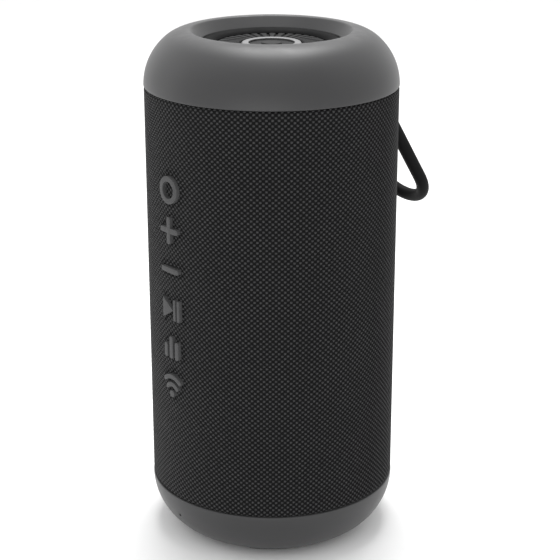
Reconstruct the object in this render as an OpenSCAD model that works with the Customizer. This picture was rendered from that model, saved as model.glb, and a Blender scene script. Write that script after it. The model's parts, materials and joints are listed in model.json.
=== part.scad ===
// A waterproof cylindrical speaker. The origin is on the axis, on the surface it stands on.
// +Z is up, the controls face -Y and the carry loop hangs on the +Y side.

/* [Body] */
// Outside diameter over the caps and the fabric
body_d = 90; // [84:1:110]
// Height from the table to the top of the upper cap
total_h = 186; // [180:1:230]
// Height of each end cap, from its crest to the seam
cap_h = 19; // [18:0.5:22]
// Wall thickness of the end caps
cap_wall = 2; // [1.6:0.1:2.4]
// Share of the shoulder's width taken by the arc at the crest
crest_share = 0.86; // [0.7:0.01:0.95]
// Thickness of the knitted sleeve
fabric_t = 1.1; // [0.8:0.1:1.4]
// Wall thickness of the barrel under the sleeve
cabinet_wall = 2.4; // [2:0.1:3]
// How far the barrel reaches under each cap
spigot_h = 3; // [2.5:0.1:3.5]

/* [Passive radiators] */
// Diameter of the mouth where the sloped wall meets the surround
mouth_d = 50; // [46:1:54]
// Height of the sloped wall inside the mouth
mouth_rise = 3.45; // [3:0.05:4]
// Slope of that wall away from the vertical
mouth_slope = 40; // [30:1:50]
// Rounding at the lip of the mouth
lip_r = 1.2; // [0.8:0.1:1.5]
// Diameter of the ribbed radiator disc
disc_d = 41; // [38:0.5:43]
// Thickness of the radiator disc
disc_t = 1.6; // [1.2:0.1:2]
// Number of ribs on the disc
rib_count = 36; // [24:1:48]
// Height of the ribs
rib_h = 0.6; // [0.4:0.1:0.8]
// Outside diameter of the ring on the upper disc
medallion_d = 21.6; // [18:0.2:24]

/* [Buttons] */
// Distance between two buttons
button_pitch = 14.4; // [13.4:0.1:15]
// Height of the middle of the button column
buttons_z = 100; // [90:1:106]
// Width and height of a symbol
glyph_size = 9.8; // [8.2:0.1:11.4]
// Width of a symbol's strokes
glyph_stroke = 1.9; // [1.4:0.1:2.2]
// How far a symbol stands out of the body
glyph_proud = 0.9; // [0.8:0.1:1.2]
// How far a button travels
button_travel = 0.7; // [0.4:0.1:0.8]
// Gap between a button and the hole it moves in
button_gap = 0.25; // [0.2:0.05:0.3]

/* [Carry loop] */
// Diameter of the loop's round section
loop_d = 4.8; // [4:0.1:5]
// Distance between the middles of its two legs
loop_span = 26; // [24:0.5:27]
// Length of a leg from the elbow to the outside of the bend
loop_len = 47; // [38:1:60]
// Angle that the legs hang away from the body
loop_tilt = 33; // [28:1:40]
// How far the pivot lies inside the body's outside
loop_pivot_inset = 5.8; // [5.6:0.1:6.2]
// Distance of the pivot below the upper seam
loop_pivot_drop = 14.5; // [12:0.5:16]
// Diameter of the two pivot pins
loop_pin_d = 2; // [1.6:0.1:2.2]

/* [Speaker drivers] */
// Outside diameter of a driver's frame
driver_d = 47; // [44:1:48]
// Height of the drivers' middle
driver_z = 127; // [122:1:130]

/* [Power and charging] */
// Diameter of a battery cell
cell_d = 18.4; // [18:0.1:18.6]
// Length of a battery cell
cell_len = 65; // [60:1:66]
// Width of the charging port's cover
port_w = 24; // [22:0.5:26]
// Height of the charging port's cover
port_h = 13; // [12:0.5:14]
// Height of the middle of the port
port_z = 38; // [36:1:44]

/* [Hidden] */
$fn = 96;

eps = 0.01;
fit_gap = 0.1;
thread_gap = 0.05;
run_gap = 0.05;
screw_clear = 0.2;
// Extra length that lets a cutting shape pass right through.
past = 1;

// Radii of the layers, from the outside in.
R = body_d / 2;
sleeve_r = R - 0.2;
sleeve_in = sleeve_r - fabric_t;
shell_r = sleeve_in - fit_gap;
shell_in = shell_r - cabinet_wall;

// Heights of the seams. Each end is drawn as the top end and the bottom is its mirror.
foot_proud = 0.6;
seam_gap = 0.3;
seam_low = foot_proud + cap_h;
seam_high = total_h - cap_h;
mirror_sum = total_h + foot_proud;

// The cap's outline: a side arc and a crest arc that meet smoothly.
mouth_r = mouth_d / 2;
lip_z = total_h - lip_r;
cone_top = [
    mouth_r + mouth_rise * tan(mouth_slope),
    lip_z + lip_r * sin(mouth_slope)
];
cone_low_z = cone_top[1] - mouth_rise;
crest_r = cone_top[0] + lip_r * cos(mouth_slope);
shoulder_w = R - crest_r;
crest_arc = crest_share * min(shoulder_w, cap_h);
crest_drop = cap_h - crest_arc;
side_arc = (pow(shoulder_w, 2) + pow(crest_drop, 2) - pow(crest_arc, 2)) / (2 * (shoulder_w - crest_arc));
side_mid = [R - side_arc, seam_high];
crest_mid = [crest_r, total_h - crest_arc];
meet_angle = atan2(crest_mid[1] - side_mid[1], crest_mid[0] - side_mid[0]);

cap_tie = 1;

// The radiator frame stands on a ledge of the barrel and carries the surround at the mouth.
seat_w = 5.2;
seat_t = 2;
frame_wall = 2.4;
surround_t = 0.8;
surround_top = cone_low_z - 0.3;
seat_z = surround_top - surround_t;
seat_out = mouth_r + seat_w;
ledge_w = 4.8;
ledge_t = 4;
ledge_z = seam_high - ledge_t + 1;
seal_t = 1;
flange_z = ledge_z + ledge_t + seal_t;
flange_t = 2;
flange_r = shell_in - 0.2;
screw_ring_r = shell_in - ledge_w / 2;
frame_screws = 6;

disc_r = disc_d / 2;
disc_top = surround_top - 0.7;
roll_rise = 0.9;
skin_t = 0.5;
roll_mid = (mouth_r + disc_r) / 2;
medallion_low = disc_top - rib_h / 2;
medallion_t = 0.6;
medallion_edge = 0.3;
medallion_w = 2.4;
boss_r = 3.6;
weight_r = 9;
weight_t = 3;

foot_w = 3.6;
foot_t = 1.8;
foot_in = crest_r - 0.4;
foot_notch = 6;
foot_notch_h = 0.3;
foot_edge = 0.5;

screw_r = 1;
screw_head_r = 1.9;
screw_head_h = 1.2;

// The button stack, as distances from the body's axis along -Y.
glyph_top = R + glyph_proud;
patch_r = glyph_size / 2 - glyph_stroke - 0.05;
key_w = 12.6;
key_front = sleeve_in - 1;
key_t = 1.2;
key_back = key_front - key_t;
window_w = key_w + 0.8;
button_count = 6;
window_h = (button_count - 1) * button_pitch + key_w + 1.2;
pad_face = shell_in - 2.6;
pad_w = 21;
pad_margin = 0.6;
pad_screw_in = 2.4;
button_board_w = pad_w - 8.4;
pad_h = window_h + 10;
seal_sheet = 1.2;
plunger_r = 1.6;
switch_w = 4.6;
switch_t = 1;
switch_pin_r = 0.9;
switch_pin_h = 0.4;
board_t = 1.2;
board_front = pad_face - seal_sheet - 1.2;
switch_tip = board_front + switch_t + switch_pin_h;
plunger_tip = switch_tip + button_travel + 0.1;
bracket_t = 4.2;
seal_hole_r = 2.6;

// The driver stack, as distances from the body's axis along X.
driver_r = driver_d / 2;
driver_front = sqrt(pow(shell_r, 2) - pow(driver_r + 0.3, 2)) - 0.4;
driver_flange = 1.8;
gasket_t = 0.6;
driver_seat = driver_front - driver_flange - gasket_t;
driver_open_r = driver_r - 4.9;
cone_r = driver_open_r - 2.7;
cone_depth = 10;
coil_r = 6;
coil_t = 0.5;
pole_r = 5;
plate_hole_r = 6.6;
magnet_r = 11;
magnet_front = driver_front - 16;
plate_t = 2.5;
plate_edge = 0.6;
magnet_t = 5;
yoke_t = 2;
driver_screw_r = driver_r - 1.8;

// The chassis plate stands in rails behind the battery.
plate_y = 11;
chassis_t = 2;
chassis_low = seam_low + 5;
chassis_h = driver_z - driver_r - 2.6 - 0.9 - chassis_low;
chassis_w = 2 * (sqrt(pow(shell_in, 2) - pow(plate_y + chassis_t + 0.6, 2)) - 0.4);
rail_gap = 0.2;
rail_t = 1.2;
rail_w = 3.2;
cell_r = cell_d / 2;
cell_y = plate_y - 0.3 - cell_r;
cell_x = cell_r + 0.5;
cell_low = chassis_low + 5;
shelf_t = 2.4;
chassis_hole_in = 8;
chassis_hole_r = 4;
strap_t = 0.8;
strap_w = 8;
strap_gap = 0.2;
strap_heights = [cell_low + 12, cell_low + cell_len - 20];
post_h = 4;
main_w = 46;
main_h = 62;
main_low = chassis_low + 12;
main_y = plate_y + chassis_t + post_h;
main_t = 1.6;
main_hole = 3.4;
post_r = 2.6;

// The charging port, drawn along +Y.
port_hinge_r = 0.65;
port_hinge_y = R - port_hinge_r;
port_hinge_z = port_z - port_h / 2;
port_hinge_w = 10;
port_corner = 2.4;
anchor_h = 0.9;
plug_w = 10.6;
plug_h = 5;
plug_in = shell_r - 3;
recess_side = 0.4;
recess_top = 1.3;
socket_w = 8.94;
socket_h = 3.26;
socket_len = 7.3;
socket_wall = 0.3;
tongue_room_w = socket_w - 2 * socket_wall;
tongue_room_h = socket_h - 2 * socket_wall;
tongue_w = 6.6;
tongue_t = 0.7;
socket_front = plug_in - 0.4;
housing_w = port_w + 4;
housing_low = port_hinge_z - 2.6;
housing_high = port_z + port_h / 2 + 2.2;
housing_back = shell_in - 5.6;

// The carry loop. Distances are along +Y and Z.
loop_r = loop_d / 2;
leg_x = loop_span / 2;
pivot_y = R - loop_pivot_inset;
pivot_z = seam_high - loop_pivot_drop;
elbow_y = R - 1;
elbow_z = pivot_z - 1.1;
eye_r = 2.8;
eye_w = 4.6;
pocket_w = eye_w + 1;
pocket_low = pivot_z - 8.1;
pocket_high = pivot_z + 5.9;
pocket_back = pivot_y - eye_r - 0.4;
mount_w = loop_span + 9;
mount_low = pocket_low - 3;
mount_high = pocket_high + 2.6;
mount_back = pocket_back - 2;
pin_len = 10.2;
pin_mid_x = leg_x - 1.6;

microphone_z = 12;
microphone_hole_r = 0.6;
capsule_r = 2;
capsule_t = 1.5;
capsule_front = cap_inside(microphone_z - capsule_r) - fit_gap;

/* ---------- helpers ---------- */

module at_bottom() {
    translate([0, 0, mirror_sum]) mirror([0, 0, 1]) children();
}

module ring(outer, inner, low, high) {
    difference() {
        translate([0, 0, low]) cylinder(r = outer, h = high - low);
        translate([0, 0, low - 1]) cylinder(r = inner, h = high - low + 2);
    }
}

// A 2D shape drawn in X and Z, pushed out along -Y between two distances from the axis.
module forward(near, far, z) {
    translate([0, -near, z]) rotate([90, 0, 0]) linear_extrude(far - near) children();
}

// The same, pushed out along +Y.
module backward(near, far, z) {
    translate([0, far, z]) rotate([90, 0, 0]) linear_extrude(far - near) children();
}

// Turns a piece drawn along +Z so that it lies along +X (side = 1) or -X (side = -1).
module sideways(side) {
    translate([0, 0, driver_z]) rotate([0, 90 * side, 0]) children();
}

module rounded(w, h, corner) {
    square([w - 2 * corner, h], center = true);
    square([w, h - 2 * corner], center = true);
    for (sx = [-1, 1], sy = [-1, 1])
        translate([sx * (w / 2 - corner), sy * (h / 2 - corner)]) circle(corner, $fn = 32);
}

// A line with round ends.
module stroke(from, to, w) {
    run = to - from;
    translate(from) circle(d = w, $fn = 32);
    translate(to) circle(d = w, $fn = 32);
    translate(from) rotate(atan2(run[1], run[0])) translate([0, -w / 2]) square([norm(run), w]);
}

// A round bar between two points.
module bar(from, to, r) {
    run = to - from;
    translate(from) rotate([0, acos(run[2] / norm(run)), atan2(run[1], run[0])])
        cylinder(r = r, h = norm(run), $fn = 32);
}

// A flat lead drawn as a line of strokes.
module ribbon(points, t) {
    for (i = [0:len(points) - 2]) stroke(points[i], points[i + 1], t);
}

module screw(len) {
    translate([0, 0, -len]) cylinder(r = screw_r, h = len, $fn = 24);
    difference() {
        cylinder(r = screw_head_r, h = screw_head_h, $fn = 32);
        translate([0, 0, 0.5]) cylinder(r = screw_r, h = screw_head_h, $fn = 6);
    }
}

module around(count, r, turn = 0) {
    for (i = [0:count - 1]) rotate(turn + i * 360 / count) translate([r, 0, 0]) children();
}

/* ---------- end caps ---------- */

// The part of a cap's outline that lies inside its two arcs, shrunk by inset.
module arcs(inset) {
    far = 2 * side_arc + R;
    intersection() {
        translate(side_mid) circle(side_arc - inset, $fn = 180);
        polygon([
            side_mid,
            side_mid + [far, 0],
            side_mid + [far, far * tan(meet_angle)]
        ]);
    }
    intersection() {
        translate(crest_mid) circle(crest_arc - inset, $fn = 180);
        translate([crest_r, seam_high]) square([far, cap_h]);
    }
    polygon([[mouth_r, seam_high], side_mid + [side_arc - inset, 0], crest_mid, [mouth_r, crest_mid[1]]]);
}

module cap_outline() {
    difference() {
        intersection() {
            union() {
                arcs(0);
                translate([crest_r, lip_z]) circle(lip_r, $fn = 48);
                polygon([
                    [mouth_r, seam_high], [mouth_r, cone_low_z], cone_top, [crest_r, lip_z],
                    [crest_r + lip_r, lip_z - lip_r], crest_mid + [lip_r, 0]
                ]);
            }
            translate([mouth_r, seam_high]) square([R, cap_h + 1]);
        }
        difference() {
            union() {
                arcs(cap_wall);
                translate([crest_mid[0] - cap_h, seam_high - 1])
                    square([cap_h, surround_top - seam_high + 1]);
            }
            translate([mouth_r - 1, surround_top]) square([seat_w + 1.2, cap_h]);
        }
        translate([0, seam_high - 1]) square([sleeve_in, spigot_h + fit_gap + 1]);
    }
}

// The ring lies inside the crest's wall and ties the cap's arcs into one body.
module cap_body() {
    rotate_extrude($fn = 180) cap_outline();
    ring(crest_r + cap_tie, crest_r - cap_tie, surround_top + cap_tie, lip_z);
}

module foot_profile() {
    low = mirror_sum - foot_t;
    polygon([
        [foot_in, low], [foot_in, mirror_sum - foot_edge], [foot_in + foot_edge, mirror_sum],
        [foot_in + foot_w - foot_edge, mirror_sum], [foot_in + foot_w, mirror_sum - foot_edge],
        [foot_in + foot_w, low]
    ]);
}

module top_cap() {
    color([0.30, 0.30, 0.31]) cap_body();
}

module bottom_cap() {
    color([0.30, 0.30, 0.31])
    difference() {
        at_bottom() cap_body();
        at_bottom() ring(foot_in + foot_w, foot_in, mirror_sum - foot_t, mirror_sum + 1);
        translate([0, 0, microphone_z]) rotate([90, 0, 0])
            cylinder(r = microphone_hole_r, h = R + past, $fn = 24);
    }
}

module foot_ring() {
    color([0.08, 0.08, 0.08])
    difference() {
        at_bottom() rotate_extrude($fn = 180) foot_profile();
        for (turn = [0:60:120]) rotate(turn)
            translate([-R, -foot_notch / 2, -1]) cube([body_d, foot_notch, 1 + foot_notch_h]);
    }
}

/* ---------- barrel and sleeve ---------- */

module symbol_holes() {
    forward(sleeve_in - 1, R + 2, button_height(0)) circle(glyph_size / 2 + button_gap, $fn = 96);
    for (i = [1:button_count - 1])
        forward(sleeve_in - 1, R + 2, button_height(i)) glyph(i, button_gap);
}

module loop_slots(extra) {
    for (side = [-1, 1])
        translate([side * leg_x - pocket_w / 2 - extra, pocket_back, pocket_low - extra])
            cube([pocket_w + 2 * extra, R, pocket_high - pocket_low + 2 * extra]);
}

module port_opening(extra) {
    translate([0, 0, port_hinge_z + port_h / 2]) rotate([-90, 0, 0])
        linear_extrude(R + 2) rounded(port_w + 2 * extra, port_h + 2 * extra, port_corner);
    translate([-port_hinge_w / 2 - 0.6, plug_in, port_hinge_z - 1])
        cube([port_hinge_w + 1.2, R, 2]);
}

module fabric_sleeve() {
    color([0.10, 0.10, 0.10])
    difference() {
        rotate_extrude($fn = 180)
            translate([sleeve_in, seam_low + seam_gap])
                square([fabric_t, seam_high - seam_low - 2 * seam_gap]);
        symbol_holes();
        loop_slots(0.2);
        port_opening(0.35);
    }
}

module driver_seats() {
    for (side = [-1, 1]) sideways(side)
        difference() {
            translate([0, 0, driver_seat - 3]) cylinder(r = driver_r + 2.6, h = R);
            translate([0, 0, driver_seat]) cylinder(r = driver_r + 0.3, h = R);
            translate([0, 0, driver_seat - 4]) cylinder(r = driver_open_r + 0.6, h = R);
            around(4, driver_screw_r, 45) translate([0, 0, driver_seat - 2.6])
                cylinder(r = screw_r + thread_gap, h = 3, $fn = 24);
        }
}

module barrel_tube() {
    ring(shell_r, shell_in, seam_low - spigot_h, seam_high + spigot_h);
}

module ledge() {
    difference() {
        ring(shell_in + 0.5, shell_in - ledge_w, ledge_z, ledge_z + ledge_t);
        around(frame_screws, screw_ring_r, 30) translate([0, 0, ledge_z - 1])
            cylinder(r = screw_r + thread_gap, h = ledge_t + 2, $fn = 24);
    }
}

module rails() {
    for (sx = [-1, 1], y = [plate_y - rail_gap - rail_t, plate_y + chassis_t + rail_gap])
        translate([sx * (chassis_w / 2 - rail_w / 2 + 1.6) - rail_w / 2 - 1.6, y, chassis_low])
            cube([rail_w + 3.2, rail_t, chassis_h]);
}

module button_pad_block() {
    translate([-pad_w / 2, -shell_in - past, buttons_z - pad_h / 2])
        cube([pad_w, shell_in + past - pad_face, pad_h]);
}

module bracket_screw_places() {
    for (sx = [-1, 1], sz = [-1, 1])
        translate([sx * (pad_w / 2 - pad_screw_in), 0, buttons_z + sz * (pad_h / 2 - pad_screw_in)])
            rotate([-90, 0, 0]) children();
}

module cabinet() {
    color([0.14, 0.14, 0.15])
    difference() {
        intersection() {
            union() {
                difference() {
                    barrel_tube();
                    for (side = [-1, 1]) sideways(side) cylinder(r = driver_r + 0.3, h = R);
                }
                ledge();
                at_bottom() ledge();
                rails();
                button_pad_block();
                driver_seats();
            }
            translate([0, 0, seam_low - spigot_h])
                cylinder(r = shell_r, h = seam_high - seam_low + 2 * spigot_h, $fn = 180);
        }
        translate([-window_w / 2, -R, buttons_z - window_h / 2])
            cube([window_w, R - pad_face + 3, window_h]);
        bracket_screw_places() translate([0, 0, -pad_face - 2.2])
            cylinder(r = screw_r + thread_gap, h = 4, $fn = 24);
        translate([-mount_w / 2 - fit_gap, mount_back - 6, mount_low - fit_gap])
            cube([mount_w + 2 * fit_gap, R, mount_high - mount_low + 2 * fit_gap]);
        translate([-housing_w / 2 - fit_gap, housing_back - 6, housing_low - fit_gap])
            cube([housing_w + 2 * fit_gap, R, housing_high - housing_low + 2 * fit_gap]);
    }
}

/* ---------- passive radiators ---------- */

module seal_body() {
    difference() {
        ring(flange_r, shell_in - ledge_w, ledge_z + ledge_t, flange_z);
        around(frame_screws, screw_ring_r, 30) translate([0, 0, ledge_z])
            cylinder(r = screw_r + screw_clear, h = ledge_t + 3, $fn = 24);
    }
}

// The frame's section: a screwed flange, a wall that leans inward, and the seat for the surround.
module frame_body() {
    wall_out = shell_in - ledge_w;
    wall_in = wall_out - frame_wall;
    seat_in = mouth_r + seam_gap;
    difference() {
        rotate_extrude($fn = 144) polygon([
            [wall_in, flange_z], [flange_r, flange_z], [flange_r, flange_z + flange_t],
            [wall_out, flange_z + flange_t], [seat_out, seat_z - seat_t], [seat_out, seat_z],
            [seat_in, seat_z], [seat_in, seat_z - seat_t + 0.4],
            [seat_out - seat_t, seat_z - seat_t - 0.2], [wall_in, flange_z + flange_t - 0.4]
        ]);
        around(frame_screws, screw_ring_r, 30) translate([0, 0, flange_z - 1])
            cylinder(r = screw_r + screw_clear, h = flange_t + 2, $fn = 24);
    }
}

module frame_screw_set() {
    around(frame_screws, screw_ring_r, 30) translate([0, 0, flange_z + flange_t])
        screw(ledge_t + seal_t + past);
}

// The surround: a clamped rim, one low roll, and an inner band glued round the disc.
module surround_body() {
    base = seat_z + 0.05;
    half = (mouth_r - disc_r) / 2 + 0.2;
    arc_r = (pow(half, 2) + pow(roll_rise, 2)) / (2 * roll_rise);
    ring(mouth_r + seat_w - 0.8, mouth_r + 0.1, base, base + surround_t - 0.1);
    rotate_extrude($fn = 144) difference() {
        translate([roll_mid, base + roll_rise - arc_r + skin_t]) circle(arc_r, $fn = 180);
        translate([roll_mid, base + roll_rise - arc_r]) circle(arc_r, $fn = 180);
        translate([0, base - 2 * arc_r]) square([R, 2 * arc_r]);
    }
    ring(disc_r + 0.7, disc_r + 0.02, base, base + skin_t);
}

module disc_body(centre_r) {
    rib_in = centre_r + 0.6;
    rib_out = disc_r - 1;
    difference() {
        union() {
            translate([0, 0, disc_top - rib_h - disc_t]) cylinder(r = disc_r, h = disc_t, $fn = 144);
            translate([0, 0, disc_top - rib_h - eps])
                cylinder(r = centre_r, h = rib_h / 2 + eps, $fn = 96);
            around(rib_count, 0) translate([rib_in, -rib_width(rib_in) / 2, disc_top - rib_h - eps])
                linear_extrude(rib_h + eps) polygon([
                    [0, 0], [rib_out - rib_in, -(rib_width(rib_out) - rib_width(rib_in)) / 2],
                    [rib_out - rib_in, (rib_width(rib_out) + rib_width(rib_in)) / 2],
                    [0, rib_width(rib_in)]
                ]);
        }
        translate([0, 0, disc_top - rib_h - disc_t - 1]) cylinder(r = 1.5, h = 1.6, $fn = 32);
    }
}

// A rib fills most of its share of the circle, and leaves a groove of even width.
function rib_width(r) = 2 * r * tan(180 / rib_count) - 0.75;

module weight_body() {
    low = disc_top - rib_h - disc_t - weight_t;
    translate([0, 0, low]) cylinder(r = weight_r, h = weight_t, $fn = 72);
    translate([0, 0, low + weight_t - eps]) cylinder(r = 1.45, h = 0.5, $fn = 32);
}

module top_seal_ring() {
    color([0.05, 0.05, 0.05]) seal_body();
}

module bottom_seal_ring() {
    color([0.05, 0.05, 0.05]) at_bottom() seal_body();
}

module top_radiator_frame() {
    color([0.12, 0.12, 0.13]) frame_body();
}

module bottom_radiator_frame() {
    color([0.12, 0.12, 0.13]) at_bottom() frame_body();
}

module top_frame_screws() {
    color([0.6, 0.6, 0.62]) frame_screw_set();
}

module bottom_frame_screws() {
    color([0.6, 0.6, 0.62]) at_bottom() frame_screw_set();
}

module top_radiator_surround() {
    color([0.07, 0.07, 0.07]) surround_body();
}

module bottom_radiator_surround() {
    color([0.07, 0.07, 0.07]) at_bottom() surround_body();
}

module top_radiator_disc() {
    color([0.22, 0.22, 0.23]) disc_body(medallion_d / 2);
}

module bottom_radiator_disc() {
    color([0.22, 0.22, 0.23]) at_bottom() disc_body(medallion_d / 2);
}

module top_radiator_weight() {
    color([0.55, 0.55, 0.57]) weight_body();
}

module bottom_radiator_weight() {
    color([0.55, 0.55, 0.57]) at_bottom() weight_body();
}

// A flat ring with cut corners, from the inside radius to the outside one.
module medallion_profile(inner, outer) {
    polygon([
        [inner, medallion_low], [outer, medallion_low], [outer, medallion_low + medallion_edge],
        [outer - medallion_edge, medallion_low + medallion_t], [inner, medallion_low + medallion_t]
    ]);
}

// A plain bright ring, and a plain dark boss in its middle.
module medallion_ring() {
    outer = medallion_d / 2 - medallion_edge;
    color([0.78, 0.78, 0.79])
    rotate_extrude($fn = 120) medallion_profile(outer - medallion_w, outer);
}

module medallion_dot() {
    color([0.22, 0.22, 0.23])
    rotate_extrude($fn = 72) medallion_profile(0, boss_r);
}

/* ---------- buttons ---------- */

function button_height(i) = buttons_z + ((button_count - 1) / 2 - i) * button_pitch;

module arc_band(r, w, low, high) {
    far = 3 * r;
    mid = (low + high) / 2;
    intersection() {
        difference() {
            circle(r + w / 2, $fn = 96);
            circle(r - w / 2, $fn = 96);
        }
        polygon([
            [0, 0], far * [cos(low), sin(low)], far * [cos(mid), sin(mid)], far * [cos(high), sin(high)]
        ]);
    }
    for (a = [low, high]) translate(r * [cos(a), sin(a)]) circle(d = w - 0.06, $fn = 32);
}

// A triangle on its side, point to the right, with every edge moved out by grow.
module play_triangle(left, right, half, grow) {
    slope = atan2(half, right - left);
    tip = right + grow / sin(slope);
    base = left - grow;
    polygon([[base, (tip - base) * tan(slope)], [tip, 0], [base, -(tip - base) * tan(slope)]]);
}

// The symbols, from the top of the column to the bottom. Symbol 0 is the ring.
module glyph(index, grow) {
    w = glyph_stroke + 2 * grow;
    h = glyph_size / 2 - glyph_stroke / 2;
    if (index == 0) {
        difference() {
            circle(glyph_size / 2 + grow, $fn = 96);
            circle(glyph_size / 2 - glyph_stroke - grow, $fn = 96);
        }
    }
    if (index == 1) {
        stroke([-h, 0], [h, 0], w);
        stroke([0, -h], [0, h], w);
    }
    if (index == 2) stroke([-h, 0], [h, 0], w);
    if (index == 3) {
        play_triangle(-h - 0.5, h * 0.42, h * 0.95, grow);
        for (x = [h * 0.58, h * 1.08])
            translate([x - 0.6 - grow, -h * 0.98 - grow]) square([1.2 + 2 * grow, h * 1.96 + 2 * grow]);
    }
    if (index == 4) {
        stroke([-h * 0.78, -h * 0.8], [-h * 0.78, h * 0.1], w);
        stroke([0, -h * 0.8], [0, h * 0.85], w);
        stroke([h * 0.78, -h * 0.8], [h * 0.78, h * 0.45], w);
    }
    if (index == 5) translate([0, -h * 0.8]) {
        circle(1.25 + grow, $fn = 48);
        arc_band(h * 0.9, w * 0.86, 42, 138);
        arc_band(h * 1.64, w * 0.86, 50, 130);
    }
}

module key(index) {
    translate([0, 0, button_height(index)]) {
        intersection() {
            forward(key_back, glyph_top + 1, 0) glyph(index, 0);
            translate([0, 0, -glyph_size]) cylinder(r = glyph_top, h = 2 * glyph_size, $fn = 180);
        }
        forward(key_back, key_front, 0) rounded(key_w, key_w, 1.5);
        forward(plunger_tip, key_back + eps, 0) circle(plunger_r, $fn = 32);
    }
}

module power_button() {
    color([0.40, 0.40, 0.41]) {
        key(0);
        forward(key_front - eps, sleeve_in - 0.4, button_height(0)) circle(patch_r + 0.1, $fn = 48);
    }
}

// The dot of sleeve fabric that is bonded inside the ring and moves with it.
module power_button_patch() {
    color([0.10, 0.10, 0.10])
    intersection() {
        forward(sleeve_in - 0.4, R + 1, button_height(0)) circle(patch_r, $fn = 48);
        translate([0, 0, button_height(0) - glyph_size])
            cylinder(r = sleeve_r, h = 2 * glyph_size, $fn = 180);
    }
}

module volume_up_button() {
    color([0.40, 0.40, 0.41]) key(1);
}

module volume_down_button() {
    color([0.40, 0.40, 0.41]) key(2);
}

module play_pause_button() {
    color([0.40, 0.40, 0.41]) key(3);
}

module mode_button() {
    color([0.40, 0.40, 0.41]) key(4);
}

module pairing_button() {
    color([0.40, 0.40, 0.41]) key(5);
}

module button_seal() {
    color([0.2, 0.2, 0.2])
    difference() {
        forward(pad_face - seal_sheet, pad_face, buttons_z)
            square([pad_w - pad_margin, pad_h - pad_margin], center = true);
        for (i = [0:button_count - 1])
            forward(pad_face - seal_sheet - past, pad_face + past, button_height(i))
                circle(seal_hole_r, $fn = 48);
        bracket_screw_places() translate([0, 0, -pad_face - 1])
            cylinder(r = screw_r + screw_clear, h = 4, $fn = 24);
    }
}

module button_board() {
    color([0.05, 0.25, 0.12])
    forward(board_front - board_t, board_front, buttons_z)
        square([button_board_w, window_h], center = true);
}

module button_switches() {
    color([0.7, 0.7, 0.7])
    for (i = [0:button_count - 1]) {
        forward(board_front, board_front + switch_t, button_height(i)) square(switch_w, center = true);
        forward(board_front + switch_t - eps, switch_tip, button_height(i)) circle(switch_pin_r, $fn = 32);
    }
}

module button_bracket() {
    front = pad_face - seal_sheet;
    color([0.12, 0.12, 0.13])
    difference() {
        forward(front - bracket_t, front, buttons_z)
            square([pad_w - pad_margin, pad_h - pad_margin], center = true);
        forward(board_front - board_t - 0.05, front + 1, buttons_z)
            square([button_board_w + 2 * fit_gap, window_h + 2 * fit_gap], center = true);
        bracket_screw_places() translate([0, 0, -front - 1])
            cylinder(r = screw_r + screw_clear, h = bracket_t + 2, $fn = 24);
        forward(front - bracket_t - 1, front, buttons_z - window_h / 2 + 8) circle(3, $fn = 32);
    }
}

module bracket_screws() {
    color([0.6, 0.6, 0.62])
    bracket_screw_places() translate([0, 0, -pad_face + seal_sheet + bracket_t])
        screw(bracket_t + seal_sheet + 1.6);
}

/* ---------- drivers ---------- */

module driver_frame_body() {
    basket_low = magnet_front + 0.9;
    difference() {
        rotate_extrude($fn = 120) polygon([
            [driver_open_r, driver_front], [driver_r, driver_front],
            [driver_r, driver_front - driver_flange],
            [driver_open_r + 0.4, driver_front - driver_flange], [magnet_r + 1, basket_low],
            [magnet_r + 1, magnet_front], [plate_hole_r + 1.2, magnet_front],
            [plate_hole_r + 1.2, basket_low + 0.6], [magnet_r, basket_low + 0.6],
            [driver_open_r - 0.8, driver_front - driver_flange]
        ]);
        around(4, driver_open_r - 3, 0) translate([-2, 0, driver_front - driver_flange - 10.5])
            cylinder(r = 5, h = 8, $fn = 32);
        around(4, driver_screw_r, 45) translate([0, 0, driver_front - driver_flange - 1])
            cylinder(r = screw_r + screw_clear, h = driver_flange + 2, $fn = 24);
    }
}

module driver_magnet_body() {
    yoke_low = magnet_front - plate_t - magnet_t - yoke_t;
    rotate_extrude($fn = 96) {
        translate([plate_hole_r, magnet_front - plate_t])
            square([magnet_r + plate_edge - plate_hole_r, plate_t]);
        translate([plate_hole_r + plate_edge, magnet_front - plate_t - magnet_t])
            square([magnet_r - plate_hole_r - plate_edge, magnet_t]);
        translate([0, yoke_low]) square([magnet_r + 0.3, yoke_t]);
        translate([0, yoke_low]) square([pole_r, plate_t + magnet_t + yoke_t]);
    }
}

// Paper cone with a domed dust cap in its middle.
module driver_cone_body() {
    rim = driver_front + 0.1;
    neck = rim - cone_depth;
    dome = 14;
    dome_mid = neck + 6.4 - dome;
    rotate_extrude($fn = 120) {
        polygon([
            [coil_r + 0.1, neck], [coil_r + 0.9, neck], [cone_r, rim - 0.7], [cone_r, rim],
            [cone_r - 0.5, rim], [coil_r + 0.1, neck + 0.9]
        ]);
        intersection() {
            difference() {
                translate([0, dome_mid]) circle(dome, $fn = 96);
                translate([0, dome_mid]) circle(dome - 0.5, $fn = 96);
            }
            translate([0, neck + 2.6]) square([8.9, 9]);
        }
    }
}

module voice_coil_body() {
    neck = driver_front + 0.1 - cone_depth;
    ring(coil_r, coil_r - coil_t, magnet_front - plate_t - 1.4, neck + 0.6);
}

module driver_surround_body() {
    mid = (cone_r + driver_open_r) / 2;
    half = (driver_open_r - cone_r) / 2;
    rotate_extrude($fn = 120) {
        difference() {
            translate([mid, driver_front + 0.1]) circle(half, $fn = 48);
            translate([mid, driver_front + 0.1]) circle(half - 0.4, $fn = 48);
            translate([0, driver_front - 5]) square([R, 5.1]);
        }
        translate([driver_open_r - 0.4, driver_front + 0.02]) square([1.7, 0.4]);
        translate([cone_r + 0.02, driver_front + 0.1]) square([0.5, 0.4]);
    }
}

module driver_frame_right() {
    color([0.12, 0.12, 0.12]) sideways(1) driver_frame_body();
}

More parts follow.
